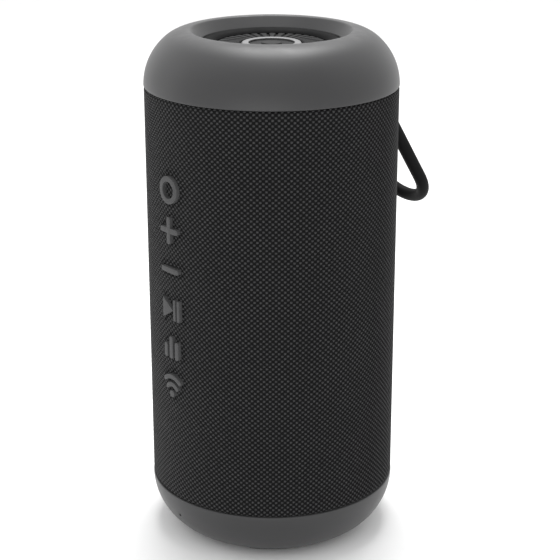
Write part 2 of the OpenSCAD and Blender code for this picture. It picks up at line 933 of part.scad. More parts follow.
module driver_frame_left() {
    color([0.12, 0.12, 0.12]) sideways(-1) driver_frame_body();
}

module driver_magnet_right() {
    color([0.35, 0.35, 0.37]) sideways(1) driver_magnet_body();
}

module driver_magnet_left() {
    color([0.35, 0.35, 0.37]) sideways(-1) driver_magnet_body();
}

module driver_cone_right() {
    color([0.15, 0.15, 0.15]) sideways(1) driver_cone_body();
}

module driver_cone_left() {
    color([0.15, 0.15, 0.15]) sideways(-1) driver_cone_body();
}

module voice_coil_right() {
    color([0.72, 0.42, 0.2]) sideways(1) voice_coil_body();
}

module voice_coil_left() {
    color([0.72, 0.42, 0.2]) sideways(-1) voice_coil_body();
}

module driver_surround_right() {
    color([0.06, 0.06, 0.06]) sideways(1) driver_surround_body();
}

module driver_surround_left() {
    color([0.06, 0.06, 0.06]) sideways(-1) driver_surround_body();
}

module driver_gaskets() {
    color([0.05, 0.05, 0.05])
    for (side = [-1, 1]) sideways(side)
        difference() {
            ring(driver_r - 0.1, driver_open_r + 0.6, driver_seat, driver_seat + gasket_t);
            around(4, driver_screw_r, 45) translate([0, 0, driver_seat - 1])
                cylinder(r = screw_r + screw_clear, h = 3, $fn = 24);
        }
}

module driver_screws() {
    color([0.6, 0.6, 0.62])
    for (side = [-1, 1]) sideways(side)
        around(4, driver_screw_r, 45) translate([0, 0, driver_front])
            difference() {
                union() {
                    translate([0, 0, -driver_flange - gasket_t - 2])
                        cylinder(r = screw_r, h = 5, $fn = 24);
                    cylinder(r = 1.5, h = 1, $fn = 32);
                }
                translate([0, 0, 0.5]) cylinder(r = 0.8, h = 3, $fn = 6);
            }
}

/* ---------- battery and boards ---------- */

module cell(side) {
    translate([side * cell_x, cell_y, cell_low]) {
        cylinder(r = cell_r, h = cell_len - 1.2, $fn = 72);
        translate([0, 0, cell_len - 1.2 - eps]) cylinder(r = 2.8, h = 1.2, $fn = 36);
    }
}

module battery_cell_right() {
    color([0.16, 0.35, 0.62]) cell(1);
}

module battery_cell_left() {
    color([0.16, 0.35, 0.62]) cell(-1);
}

module strap_outline(r) {
    for (side = [-1, 1]) translate([side * cell_x, cell_y]) circle(r, $fn = 72);
    translate([-cell_x, cell_y - r]) square([2 * cell_x, 2 * r]);
    translate([-cell_x - r, cell_y]) square([2 * (cell_x + r), plate_y - cell_y]);
}

module battery_straps() {
    color([0.1, 0.1, 0.1])
    for (z = strap_heights) translate([0, 0, z]) linear_extrude(strap_w)
        intersection() {
            difference() {
                strap_outline(cell_r + strap_gap + strap_t);
                strap_outline(cell_r + strap_gap);
            }
            translate([-R, plate_y - body_d]) square([body_d, body_d]);
        }
}

module post_places() {
    for (sx = [-1, 1], sz = [0, 1])
        translate([
            sx * (main_w / 2 - main_hole),
            plate_y + chassis_t,
            main_low + main_hole + sz * (main_h - 2 * main_hole)
        ])
            rotate([-90, 0, 0]) children();
}

module chassis_plate() {
    shelf_w = 2 * (cell_x + cell_r);
    color([0.16, 0.16, 0.17])
    difference() {
        union() {
            translate([-chassis_w / 2, plate_y, chassis_low]) cube([chassis_w, chassis_t, chassis_h]);
            for (z = [cell_low - shelf_t - 0.2, cell_low + cell_len + 0.3])
                translate([-shelf_w / 2, cell_y - cell_r * 0.7, z])
                    cube([shelf_w, plate_y - cell_y + cell_r * 0.7 + eps, shelf_t]);
            post_places() cylinder(r = post_r, h = post_h, $fn = 36);
        }
        post_places() translate([0, 0, -past])
            cylinder(r = screw_r + thread_gap, h = post_h + 2 * past, $fn = 24);
        for (sx = [-1, 1])
            translate([sx * (chassis_w / 2 - chassis_hole_in), plate_y - past, chassis_low + chassis_h / 2])
                rotate([-90, 0, 0]) cylinder(r = chassis_hole_r, h = chassis_t + 2 * past, $fn = 36);
    }
}

module main_board() {
    color([0.05, 0.28, 0.14])
    difference() {
        translate([-main_w / 2, main_y, main_low]) cube([main_w, main_t, main_h]);
        post_places() cylinder(r = screw_r + screw_clear, h = post_h + 4, $fn = 24);
    }
}

module board_screws() {
    color([0.6, 0.6, 0.62])
    post_places() translate([0, 0, post_h + main_t]) screw(post_h + main_t - 1);
}

module board_components() {
    face = main_y + main_t;
    color([0.12, 0.12, 0.13]) {
        translate([-16, face, main_low + 12]) cube([9, 1.6, 9]);
        translate([8, face, main_low + 30]) cube([7, 1.4, 7]);
        translate([-6, face, main_low + 4]) cube([12, 4.5, 5]);
        translate([-17, face, main_low + 50]) cube([8, 4, 4.5]);
        for (x = [0, 11]) translate([x, face, main_low + 16]) rotate([-90, 0, 0])
            cylinder(r = 4, h = 8.5, $fn = 48);
        translate([-13, face, main_low + 38]) rotate([-90, 0, 0])
            cylinder(r = 3.2, h = 3, $fn = 6);
    }
}

module wireless_module() {
    color([0.65, 0.65, 0.66])
    translate([-2, main_y + main_t, main_low + 40]) {
        cube([15, 0.8, 19]);
        translate([0.8, 0.8 - eps, 0.8]) cube([13.4, 1.8, 13]);
    }
}

// The flat lead from the battery to the main board's connector, over the top of the chassis plate.
module battery_lead() {
    top = chassis_low + chassis_h + 2;
    color([0.6, 0.1, 0.1])
    translate([-14.5, 0, 0]) rotate([90, 0, 90]) linear_extrude(3.4) ribbon([
        [main_y + main_t + 2, main_low + 55], [main_y + main_t + 2, top - 2], [main_y - 1, top],
        [plate_y - 1, top], [cell_y + 2, top - 1.5], [cell_y + 2, cell_low + cell_len + shelf_t + 1.2]
    ], 0.9);
}

/* ---------- charging port ---------- */

module usb_socket() {
    color([0.7, 0.7, 0.71]) {
        backward(socket_front - socket_len, socket_front, port_z)
            difference() {
                rounded(socket_w, socket_h, socket_h / 2 - 0.02);
                rounded(tongue_room_w, tongue_room_h, tongue_room_h / 2 - 0.02);
            }
        backward(socket_front - socket_len, socket_front - socket_len + 0.6, port_z)
            rounded(socket_w - 0.4, socket_h - 0.4, socket_h / 2 - 0.22);
        backward(socket_front - socket_len, socket_front - 0.8, port_z)
            square([tongue_w, tongue_t], center = true);
    }
}

module port_housing() {
    color([0.10, 0.10, 0.10])
    difference() {
        intersection() {
            translate([-housing_w / 2, housing_back, housing_low])
                cube([housing_w, R - housing_back, housing_high - housing_low]);
            translate([0, 0, housing_low - past])
                cylinder(r = shell_r, h = housing_high - housing_low + 2 * past, $fn = 180);
        }
        translate([-plug_w / 2 - recess_side, plug_in - 0.4, port_z - plug_h / 2 - recess_side])
            cube([plug_w + 2 * recess_side, R, plug_h + recess_side + recess_top]);
        backward(housing_back - 1, R, port_z) rounded(socket_w + 0.2, socket_h + 0.2, socket_h / 2);
        translate([-port_hinge_w / 2 - fit_gap, plug_in, port_hinge_z - 1])
            cube([port_hinge_w + 2 * fit_gap, R, 1.2]);
    }
}

// The flap follows the body's curve. Its round lower edge is the line where the rubber bends.
module port_cover() {
    color([0.09, 0.09, 0.09]) {
        intersection() {
            difference() {
                translate([0, 0, port_z]) rotate([-90, 0, 0]) linear_extrude(R + 2) port_flap_outline();
                cylinder(r = shell_r + fit_gap, h = total_h, $fn = 180);
            }
            cylinder(r = R, h = total_h, $fn = 180);
        }
        translate([-port_hinge_w / 2, port_hinge_y, port_hinge_z]) rotate([0, 90, 0])
            cylinder(r = port_hinge_r, h = port_hinge_w, $fn = 32);
        backward(plug_in, shell_r + 0.4, port_z) rounded(plug_w, plug_h, 1.6);
        backward(R - 0.6, R + 0.5, port_z + port_h / 2 - 2.2) rounded(9, 1.2, 0.5);
    }
}

// Rounded at the top corners, square at the hinge.
module port_flap_outline() {
    mirror([0, 1]) intersection() {
        rounded(port_w, port_h, port_corner);
        translate([-port_w, -port_h / 2]) square([2 * port_w, port_h]);
    }
}

module port_cover_anchor() {
    color([0.09, 0.09, 0.09])
    difference() {
        translate([-port_hinge_w / 2, plug_in, port_hinge_z - 1])
            cube([port_hinge_w, port_hinge_y - plug_in, anchor_h]);
        translate([-port_hinge_w, port_hinge_y, port_hinge_z]) rotate([0, 90, 0])
            cylinder(r = port_hinge_r + run_gap, h = 2 * port_hinge_w, $fn = 32);
    }
}

/* ---------- carry loop ---------- */

// The legs run down from their elbows and join in a half circle.
module carry_loop() {
    straight = loop_len - leg_x - loop_r;
    color([0.06, 0.06, 0.06])
    difference() {
        union() {
            for (side = [-1, 1]) {
                eye = [side * leg_x, pivot_y, pivot_z];
                elbow = [side * leg_x, elbow_y, elbow_z];
                translate([side * leg_x - eye_w / 2, pivot_y, pivot_z]) rotate([0, 90, 0])
                    cylinder(r = eye_r, h = eye_w, $fn = 48);
                bar(eye, elbow, loop_r - 0.1);
                translate(elbow) sphere(loop_r + 0.12, $fn = 48);
            }
            translate([0, elbow_y, elbow_z]) rotate([loop_tilt, 0, 0]) {
                for (side = [-1, 1]) translate([side * leg_x, 0, -straight])
                    cylinder(r = loop_r, h = straight, $fn = 48);
                translate([0, 0, -straight]) rotate([90, 0, 0])
                    rotate_extrude(angle = 180, start = 180, $fn = 96)
                        translate([leg_x, 0]) circle(loop_r, $fn = 48);
            }
        }
        translate([-R, pivot_y, pivot_z]) rotate([0, 90, 0])
            cylinder(r = loop_pin_d / 2 + run_gap, h = body_d, $fn = 32);
    }
}

module loop_mount() {
    color([0.09, 0.09, 0.09])
    difference() {
        intersection() {
            translate([-mount_w / 2, mount_back, mount_low])
                cube([mount_w, R - mount_back, mount_high - mount_low]);
            translate([0, 0, mount_low - past])
                cylinder(r = shell_r, h = mount_high - mount_low + 2 * past, $fn = 180);
        }
        loop_slots(0);
        loop_pin_places() cylinder(r = loop_pin_d / 2, h = pin_len, $fn = 32);
    }
}

module loop_pin_places() {
    for (side = [-1, 1])
        translate([side * pin_mid_x - pin_len / 2, pivot_y, pivot_z]) rotate([0, 90, 0]) children();
}

module loop_pins() {
    color([0.65, 0.65, 0.66]) loop_pin_places() cylinder(r = loop_pin_d / 2, h = pin_len, $fn = 32);
}

/* ---------- small parts ---------- */

// The microphone capsule behind its pinhole in the lower cap.
module microphone() {
    color([0.5, 0.5, 0.5])
    translate([0, -capsule_front + capsule_t, microphone_z]) rotate([90, 0, 0])
        cylinder(r = capsule_r, h = capsule_t, $fn = 36);
}

// Inside radius of the lower cap at a height, from its side arc.
function cap_inside(z) = side_mid[0] + sqrt(pow(side_arc - cap_wall, 2) - pow(seam_low - z, 2));

top_cap();
bottom_cap();
foot_ring();
fabric_sleeve();
cabinet();
top_seal_ring();
bottom_seal_ring();
top_radiator_frame();
bottom_radiator_frame();
top_frame_screws();
bottom_frame_screws();
top_radiator_surround();
bottom_radiator_surround();
top_radiator_disc();
bottom_radiator_disc();
top_radiator_weight();
bottom_radiator_weight();
medallion_ring();
medallion_dot();
power_button();
power_button_patch();
volume_up_button();
volume_down_button();
play_pause_button();
mode_button();
pairing_button();
button_seal();
button_board();
button_switches();
button_bracket();
bracket_screws();
driver_frame_right();
driver_frame_left();
driver_magnet_right();
driver_magnet_left();
driver_cone_right();
driver_cone_left();
voice_coil_right();
voice_coil_left();
driver_surround_right();
driver_surround_left();
driver_gaskets();
driver_screws();
battery_cell_right();
battery_cell_left();
battery_straps();
chassis_plate();
main_board();
board_components();
wireless_module();
board_screws();
usb_socket();
port_housing();
port_cover();
port_cover_anchor();
carry_loop();
loop_mount();
loop_pins();
microphone();
battery_lead();
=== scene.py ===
# %% [markdown]
# # A small cylinder speaker, built from the outside in
# The speaker is a woven tube with a soft rubber cap at each end. A ribbed disc sits in
# the mouth of each cap, six rubber symbols stand out of the weave, and a rubber loop hangs
# at the back. We start from the engineered parts and give each one its real surface.

# %% Load the engineered parts
import json
import math

import bmesh
import bpy
import numpy as np
from mathutils import Matrix, Vector
from mathutils.geometry import delaunay_2d_cdt


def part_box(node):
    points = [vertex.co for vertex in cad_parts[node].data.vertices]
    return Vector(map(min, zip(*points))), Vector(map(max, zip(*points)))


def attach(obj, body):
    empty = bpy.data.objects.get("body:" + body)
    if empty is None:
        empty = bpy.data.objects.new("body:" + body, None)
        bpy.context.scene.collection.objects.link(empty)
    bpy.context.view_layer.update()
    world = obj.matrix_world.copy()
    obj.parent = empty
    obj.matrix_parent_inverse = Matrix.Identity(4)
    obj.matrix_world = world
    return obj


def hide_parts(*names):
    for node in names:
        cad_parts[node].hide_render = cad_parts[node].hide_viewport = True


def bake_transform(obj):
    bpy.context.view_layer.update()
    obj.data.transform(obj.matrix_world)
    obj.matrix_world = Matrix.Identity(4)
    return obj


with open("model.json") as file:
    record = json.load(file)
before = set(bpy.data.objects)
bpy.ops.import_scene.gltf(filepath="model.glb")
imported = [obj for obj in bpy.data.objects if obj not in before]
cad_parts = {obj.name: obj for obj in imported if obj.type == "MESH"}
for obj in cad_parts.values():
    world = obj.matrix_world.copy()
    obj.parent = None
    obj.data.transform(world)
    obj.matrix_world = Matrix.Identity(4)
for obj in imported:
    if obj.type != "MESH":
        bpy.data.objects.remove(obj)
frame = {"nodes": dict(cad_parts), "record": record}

scene = bpy.context.scene
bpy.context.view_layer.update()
MM = 0.001

# %% [markdown]
# ## The camera first
# The view stands a little above the speaker and looks down at it, so that the radiator in
# the upper cap shows. We could aim an empty and a constraint, but three plain directions
# written into one matrix are easier to read and never drift: right, up and backward.

# %% Place the camera
TURN, PITCH, YAW = math.radians(50.9), 0.3330, 0.0053
DISTANCE, HEIGHT, LENS = 0.5542, 0.2853, 102.86

right = Vector((math.cos(YAW), -math.sin(YAW), 0))
ahead = Vector((math.sin(YAW) * math.cos(PITCH), math.cos(YAW) * math.cos(PITCH), -math.sin(PITCH)))
upward = right.cross(ahead)
aim = Matrix((right, upward, -ahead)).transposed().to_4x4()

camera = bpy.data.objects.new("camera", bpy.data.cameras.new("camera"))
scene.collection.objects.link(camera)
camera.data.lens = LENS
camera.data.sensor_width = 36
camera.data.clip_start, camera.data.clip_end = 0.01, 20
spin = Matrix.Rotation(TURN, 4, "Z")
camera.matrix_world = spin @ Matrix.Translation((0, -DISTANCE, HEIGHT)) @ aim
scene.camera = camera
print("camera at", [round(v, 3) for v in camera.matrix_world.translation])

# %% [markdown]
# ## A pale floor and soft light
# A dark, matte object needs large lights: small ones would leave hard dots on the rubber.
# One wide lamp above and a little behind lights the crest of the cap, a tall one at the left
# picks out that edge, and a long low one in front lifts the lower cap. The white
# surroundings fill the rest.

# %% Floor, lamps and surroundings
def new_object(name, mesh):
    made = bpy.data.objects.new(name, mesh)
    scene.collection.objects.link(made)
    return made


FLOOR_HALF = 2.5
floor_mesh = bpy.data.meshes.new("floor")
floor_mesh.from_pydata(
    [(-FLOOR_HALF, -FLOOR_HALF, 0), (FLOOR_HALF, -FLOOR_HALF, 0),
     (FLOOR_HALF, FLOOR_HALF, 0), (-FLOOR_HALF, FLOOR_HALF, 0)], [], [(0, 1, 2, 3)])
floor = new_object("floor", floor_mesh)


def lamp(name, place, target, size, power):
    """A rectangular lamp, placed in the camera's own turn so that it follows the view's side."""
    data = bpy.data.lights.new(name, "AREA")
    data.shape = "RECTANGLE"
    data.size, data.size_y = size
    data.energy = power
    made = new_object(name, data)
    made.matrix_world = spin @ Matrix.Translation(place) @ (
        Vector(target) - Vector(place)).to_track_quat("-Z", "Y").to_matrix().to_4x4()
    return made


MIDDLE = (0, 0, 0.10)
lamp("lamp_over", (0.03, 0.26, 0.85), (0, 0, 0.16), (0.40, 0.5), 6.3)
lamp("lamp_left", (-0.75, 0.15, 0.35), MIDDLE, (0.25, 0.7), 0.5)
lamp("lamp_front", (-0.15, -0.80, 0.07), (0, 0, 0.03), (0.7, 0.10), 1.0)

world = bpy.data.worlds.new("studio")
world.use_nodes = True
world.node_tree.nodes["Background"].inputs["Color"].default_value = (1, 1, 1, 1)
world.node_tree.nodes["Background"].inputs["Strength"].default_value = 1.0
scene.world = world
scene.view_settings.view_transform = "Standard"
scene.view_settings.look = "None"
print("three lamps and a white surround")

# %% [markdown]
# ## How a finish is made
# Every finish starts as one Principled shader. Real mouldings are never one flat colour:
# they have a fine grain from the mould, a slow drift in shade and a few smoother patches
# where hands have been. A small helper adds those three from noise that lives in the
# object's own space, so the grain keeps its real size in millimetres on every piece.

# %% Helpers for finishes
def new_finish(name):
    material = bpy.data.materials.new(name)
    material.use_nodes = True
    return material, material.node_tree, material.node_tree.nodes["Principled BSDF"]


def node(tree, kind, links=None, values=None, **settings):
    """Adds one node. links maps an input to the output it takes, values to a plain number."""
    made = tree.nodes.new(kind)
    for key, value in settings.items():
        setattr(made, key, value)
    for key, value in (values or {}).items():
        made.inputs[key].default_value = value
    for key, source in (links or {}).items():
        tree.links.new(source, made.inputs[key])
    return made


def place(tree):
    return node(tree, "ShaderNodeTexCoord").outputs["Object"]


def math_node(tree, operation, a, b=None):
    made = node(tree, "ShaderNodeMath", operation=operation)
    for index, value in ((0, a), (1, b)):
        if value is None:
            continue
        if isinstance(value, (int, float)):
            made.inputs[index].default_value = value
        else:
            tree.links.new(value, made.inputs[index])
    return made.outputs[0]


def speckle(tree, size_mm, detail=2.0, where=None):
    """Noise whose blobs are about size_mm across, from 0 to 1."""
    return node(tree, "ShaderNodeTexNoise", {"Vector": where or place(tree)},
                {"Scale": 1 / (size_mm * MM), "Detail": detail}).outputs["Fac"]


def between(tree, fac, low, high, from_low=0.0, from_high=1.0):
    return node(tree, "ShaderNodeMapRange", {"Value": fac},
                {"From Min": from_low, "From Max": from_high, "To Min": low, "To Max": high}).outputs[0]


def two_colours(tree, fac, first, second):
    mix = node(tree, "ShaderNodeMix", data_type="RGBA")
    mix.inputs["A"].default_value = (*first, 1)
    mix.inputs["B"].default_value = (*second, 1)
    tree.links.new(fac, mix.inputs["Factor"])
    return mix.outputs["Result"]


def shade(colour, by):
    return tuple(min(1.0, c * by) for c in colour)


def relief(tree, shader, height, depth_mm, below=None):
    bump = node(tree, "ShaderNodeBump", {"Height": height}, {"Distance": depth_mm * MM})
    if below is not None:
        tree.links.new(below, bump.inputs["Normal"])
    tree.links.new(bump.outputs["Normal"], shader.inputs["Normal"])
    return bump.outputs["Normal"]


def moulded(name, colour, rough, grain_mm=0.3, depth_mm=0.012, drift=0.10, metal=0.0,
            gloss=0.3, sheen=0.0, coat=0.0, patch_mm=14.0):
    """Moulded plastic, rubber or plain metal: mould grain, slow drift in shade, smoother patches."""
    material, tree, shader = new_finish(name)
    slow = speckle(tree, patch_mm, 3.0)
    fine = speckle(tree, grain_mm, 2.0)
    drifting = between(tree, slow, 0, 1, 0.3, 0.7)
    tint = two_colours(tree, drifting, shade(colour, 1 - drift), shade(colour, 1 + drift))
    tree.links.new(tint, shader.inputs["Base Color"])
    tree.links.new(between(tree, slow, rough - 0.06, rough + 0.06, 0.3, 0.7), shader.inputs["Roughness"])
    relief(tree, shader, fine, depth_mm)
    shader.inputs["Metallic"].default_value = metal
    shader.inputs["Specular IOR Level"].default_value = gloss
    shader.inputs["Sheen Weight"].default_value = sheen
    shader.inputs["Coat Weight"].default_value = coat
    return material


print("helpers for finishes ready")

# %% [markdown]
# ## The floor's finish
# The floor is a plain pale sheet. A trace of tooth keeps it from looking like empty space.

# %% Floor finish
floor_finish = moulded("pale_floor", (0.92, 0.92, 0.92), 0.8, grain_mm=4, depth_mm=0.02, drift=0.01)
floor_mesh.materials.append(floor_finish)
print("floor is", 2 * FLOOR_HALF, "m square")

# %% [markdown]
# ## The body's own measures
# The outline of a cap is two arcs that meet smoothly, then a small lip and a sloped wall
# down into the mouth. These are the same measures the engineered parts were drawn with,
# in millimetres, and the seam heights come from the parts themselves.

# %% Measures
BODY_R = 45.0
sleeve_low, sleeve_high = (corner.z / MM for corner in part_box("fabric_sleeve"))
SEAM_GAP = 0.3
seam_low, seam_high = sleeve_low - SEAM_GAP, sleeve_high + SEAM_GAP
top_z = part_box("top_cap")[1].z / MM
foot_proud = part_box("bottom_cap")[0].z / MM
mirror_sum = top_z + foot_proud
MOUTH_R, LIP_R, WALL = 25.0, 1.2, 2.0
MOUTH_SLOPE = math.radians(40)
MOUTH_RISE = 3.45
lip_z = top_z - LIP_R
crest_r = MOUTH_R + MOUTH_RISE * math.tan(MOUTH_SLOPE) + LIP_R * math.cos(MOUTH_SLOPE)
cone_top_z = lip_z + LIP_R * math.sin(MOUTH_SLOPE)
cone_low_z = cone_top_z - MOUTH_RISE
shoulder = BODY_R - crest_r
crest_arc = 0.86 * shoulder
crest_drop = top_z - seam_high - crest_arc
side_arc = (shoulder**2 + crest_drop**2 - crest_arc**2) / (2 * (shoulder - crest_arc))
side_mid = (BODY_R - side_arc, seam_high)
crest_mid = (crest_r, top_z - crest_arc)
meet = math.atan2(crest_mid[1] - side_mid[1], crest_mid[0] - side_mid[0])
surround_top = cone_low_z - 0.3
print("seams at", round(seam_low, 2), round(seam_high, 2), "top at", round(top_z, 2))

# %% [markdown]
# ## Turning a profile
# A cap is round, so we draw half of its section once and turn it, as on a lathe. Blender's
# Screw modifier does this too. Writing the rings ourselves lets us put many rings on the
# tight lip and few on the flat wall, and leaves one clean grid of four-sided faces.

# %% Helpers for meshes
def bend(middle, radius, start_deg, end_deg, steps):
    """Points along an arc, as (distance from the axis, height)."""
    return [(middle[0] + radius * math.cos(math.radians(a)), middle[1] + radius * math.sin(math.radians(a)))
            for a in np.linspace(start_deg, end_deg, steps)]


def turned(profile, turns):
    """A closed half section turned into a ring of four-sided faces. Sizes in millimetres."""
    count = len(profile)
    points = [(r * math.cos(a), r * math.sin(a), z)
              for a in np.linspace(0, math.tau, turns, endpoint=False) for r, z in profile]
    faces = []
    for i in range(turns):
        here, there = i * count, ((i + 1) % turns) * count
        for k in range(count):
            nxt = (k + 1) % count
            faces.append((here + k, there + k, there + nxt, here + nxt))
    return points, faces


def make_mesh(name, points, faces, scale=MM, sharp_deg=40):
    """A mesh from plain lists, welded, with its faces turned outward and smooth between sharp edges."""
    mesh = bpy.data.meshes.new(name)
    mesh.from_pydata([tuple(c * scale for c in p) for p in points], [], faces)
    tidy_mesh(mesh, sharp_deg)
    return mesh


def tidy_mesh(mesh, sharp_deg=40):
    work = bmesh.new()
    work.from_mesh(mesh)
    bmesh.ops.remove_doubles(work, verts=work.verts, dist=2e-7)
    bmesh.ops.recalc_face_normals(work, faces=work.faces)
    work.to_mesh(mesh)
    work.free()
    mesh.shade_smooth()
    mesh.set_sharp_from_angle(angle=math.radians(sharp_deg))
    mesh.update()


def join_lists(*pairs):
    points, faces = [], []
    for more_points, more_faces in pairs:
        start = len(points)
        points += list(more_points)
        faces += [tuple(i + start for i in face) for face in more_faces]
    return points, faces


def piece(name, mesh, body, slot, finish, *stands_for):
    """Puts a mesh in the scene: it rides on a body, wears a finish and stands for engineered parts."""
    made = new_object(name, mesh)
    mesh.materials.clear()
    mesh.materials.append(finish)
    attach(made, body)
    if stands_for:
        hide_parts(*stands_for)
    print(name, "has", len(mesh.polygons), "faces")
    return made


def with_modifier(mesh, kind, **settings):
    """Applies one modifier to a mesh and returns the result."""
    holder = new_object("work", mesh)
    modifier = holder.modifiers.new("work", kind)
    for key, value in settings.items():
        setattr(modifier, key, value)
    shaped = bpy.data.meshes.new_from_object(holder.evaluated_get(bpy.context.evaluated_depsgraph_get()))
    bpy.data.objects.remove(holder)
    return shaped


def cut(mesh, tool_mesh, operation="DIFFERENCE"):
    tool = new_object("tool", tool_mesh)
    shaped = with_modifier(mesh, "BOOLEAN", object=tool, operation=operation, solver="EXACT")
    bpy.data.objects.remove(tool)
    return shaped


# %% [markdown]
# ## The rubberised caps
# The caps feel like soft silicone: dark grey, matte, with a broad dull highlight and a very
# fine tooth. Where they are handled, on the crest of each cap, the coat is rubbed a
# little paler and smoother. The rub follows the real height on the part, broken up by
# noise, so it sits on the crest from every side.

# %% Cap finish
def soft_touch(name, colour, rough, crests):
    material, tree, shader = new_finish(name)
    where = place(tree)
    slow = speckle(tree, 22.0, 3.0, where)
    tooth = speckle(tree, 0.22, 2.0, where)
    pores = speckle(tree, 0.9, 1.0, where)
    height = node(tree, "ShaderNodeSeparateXYZ", {"Vector": where}).outputs["Z"]
    rub = None
    for crest_mm in crests:
        near = between(tree, math_node(tree, "ABSOLUTE", math_node(tree, "SUBTRACT", height, crest_mm * MM)),
                       1.0, 0.0, 0.0, 2.2 * MM)
        rub = near if rub is None else math_node(tree, "MAXIMUM", rub, near)
    streaks = between(tree, speckle(tree, 5.0, 6.0, where), 0.0, 1.0, 0.45, 0.75)
    rub = math_node(tree, "MULTIPLY", rub, streaks)
    base = two_colours(tree, between(tree, slow, 0, 1, 0.3, 0.7), shade(colour, 0.95), shade(colour, 1.05))
    mix = node(tree, "ShaderNodeMix", {"A": base, "Factor": math_node(tree, "MULTIPLY", rub, 0.35)},
               data_type="RGBA")
    mix.inputs["B"].default_value = (*shade(colour, 1.7), 1)
    tree.links.new(mix.outputs["Result"], shader.inputs["Base Color"])
    smooth = math_node(tree, "SUBTRACT", between(tree, slow, rough - 0.03, rough + 0.03, 0.3, 0.7),
                       math_node(tree, "MULTIPLY", rub, 0.10))
    tree.links.new(smooth, shader.inputs["Roughness"])
    first = node(tree, "ShaderNodeBump", {"Height": tooth}, {"Distance": 0.006 * MM}).outputs["Normal"]
    relief(tree, shader, pores, 0.006, first)
    shader.inputs["Specular IOR Level"].default_value = 0.35
    shader.inputs["Sheen Weight"].default_value = 0.08
    shader.inputs["Sheen Roughness"].default_value = 0.5
    return material


cap_finish = soft_touch("soft_touch_grey", (0.034, 0.034, 0.035), 0.45, (top_z, foot_proud))
print("cap finish ready")

# %% [markdown]
# ## The end caps
# The section runs up the outside, over the crest, round the lip, down the sloped wall and
# back along the inside. The lower edge at the seam is rounded too, because a moulded edge
# is never a knife: that small round is what catches the thin pale line over the weave.
# The lower cap is the same section turned over, with a groove for the foot ring.

# %% Turn both caps
EDGE_R = 0.35
SPIGOT_TOP = seam_high + 3.1
SLEEVE_IN = 43.7
inner_r = side_arc - WALL


def cap_section(groove=None):
    edge_deg = math.degrees(EDGE_R / side_arc)
    section = bend((BODY_R - EDGE_R, seam_high + EDGE_R), EDGE_R, -90, -2, 6)
    section += bend(side_mid, side_arc, edge_deg * 1.2, math.degrees(meet), 22)[1:]
    if groove is None:
        section += bend(crest_mid, crest_arc, math.degrees(meet), 90, 20)[1:]
        section += bend((crest_r, lip_z), LIP_R, 90, 140, 10)[1:]
    else:
        low_r, high_r, depth = groove
        stop = math.degrees(math.acos((high_r - crest_r) / crest_arc))
        start = math.degrees(math.acos((low_r - crest_r) / LIP_R))
        section += bend(crest_mid, crest_arc, math.degrees(meet), stop, 20)[1:]
        section += [(high_r, top_z - depth), (low_r, top_z - depth)]
        section += bend((crest_r, lip_z), LIP_R, start, 140, 8)
    wall_low = (MOUTH_R + 0.12, cone_low_z + 0.15)
    steps = np.linspace(0, 1, 7)[1:]
    start_wall = section[-1]
    section += [(start_wall[0] + (wall_low[0] - start_wall[0]) * s,
                 start_wall[1] + (wall_low[1] - start_wall[1]) * s) for s in steps]
    section += [(MOUTH_R, cone_low_z), (MOUTH_R, surround_top + 0.05), (MOUTH_R + 0.05, surround_top)]
    back_r = 30.4
    section += [(back_r, surround_top)]
    rise = math.degrees(math.acos((back_r - crest_r) / (crest_arc - WALL)))
    section += bend(crest_mid, crest_arc - WALL, rise, math.degrees(meet), 12)
    fall = math.degrees(math.asin((SPIGOT_TOP - seam_high) / inner_r))
    section += bend(side_mid, inner_r, math.degrees(meet), fall, 10)[1:]
    section += [(SLEEVE_IN, SPIGOT_TOP), (SLEEVE_IN, seam_high)]
    return section


foot_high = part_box("foot_ring")[1]
FOOT_IN, FOOT_OUT, FOOT_DEPTH = 28.41, foot_high.x / MM, foot_high.z / MM - foot_proud
top_points, top_faces = turned(cap_section(), 192)
piece("top_cap_shell", make_mesh("top_cap_shell", top_points, top_faces), "body", "cap_rubber",
      cap_finish, "top_cap")

low_points, low_faces = turned(cap_section((FOOT_IN, FOOT_OUT, FOOT_DEPTH)), 192)
low_points = [(x, y, mirror_sum - z) for x, y, z in low_points]
PINHOLE_R, PINHOLE_Z, PINHOLE_SIDES = 0.6, 12.0, 24
OUTSIDE_Y, INSIDE_Y = -50.0, -30.0
pin_turns = np.linspace(0, math.tau, PINHOLE_SIDES, endpoint=False)
pin_round = [(PINHOLE_R * math.cos(a), PINHOLE_R * math.sin(a)) for a in pin_turns]
pin_points = [(x, y, PINHOLE_Z + z) for y in (OUTSIDE_Y, INSIDE_Y) for x, z in pin_round]
pin_faces = [(i, (i + 1) % PINHOLE_SIDES, PINHOLE_SIDES + (i + 1) % PINHOLE_SIDES, PINHOLE_SIDES + i)
             for i in range(PINHOLE_SIDES)]
pin_faces += [tuple(range(PINHOLE_SIDES)), tuple(range(PINHOLE_SIDES, 2 * PINHOLE_SIDES))]
low_cap = cut(make_mesh("low_cap", low_points, low_faces), make_mesh("pinhole", pin_points, pin_faces))
low_cap.set_sharp_from_angle(angle=math.radians(40))
piece("bottom_cap_shell", low_cap, "body", "cap_rubber", cap_finish, "bottom_cap")

# %% [markdown]
# ## The weave
# Up close the sleeve is a heavy woven cloth: rounded lighter knots on a nearly black
# ground, each row set half a step along from the last. Two waves multiplied together give
# exactly that pattern: one runs round the body and one up it. The same two waves drive the
# real bumps in the mesh and the colour in the finish, so knots and colour always agree.
# The colour darkens into the gaps between the knots. That darkening is partly the cloth's
# own dark ground and partly painted shade in the hollows.

# %% Weave measures and finish
KNOT_COLUMNS = 135
WEAVE_R = 44.66
WEAVE_DEPTH = 0.22
row_count = 2 * round((sleeve_high - sleeve_low) / 0.93 / 2)
row_h = (sleeve_high - sleeve_low) / row_count


def weave_height(s, t):
    """1 on a knot and -1 in a gap. s counts half columns round the body, t counts rows up it."""
    return np.cos(math.pi * s) * np.cos(math.pi * t)


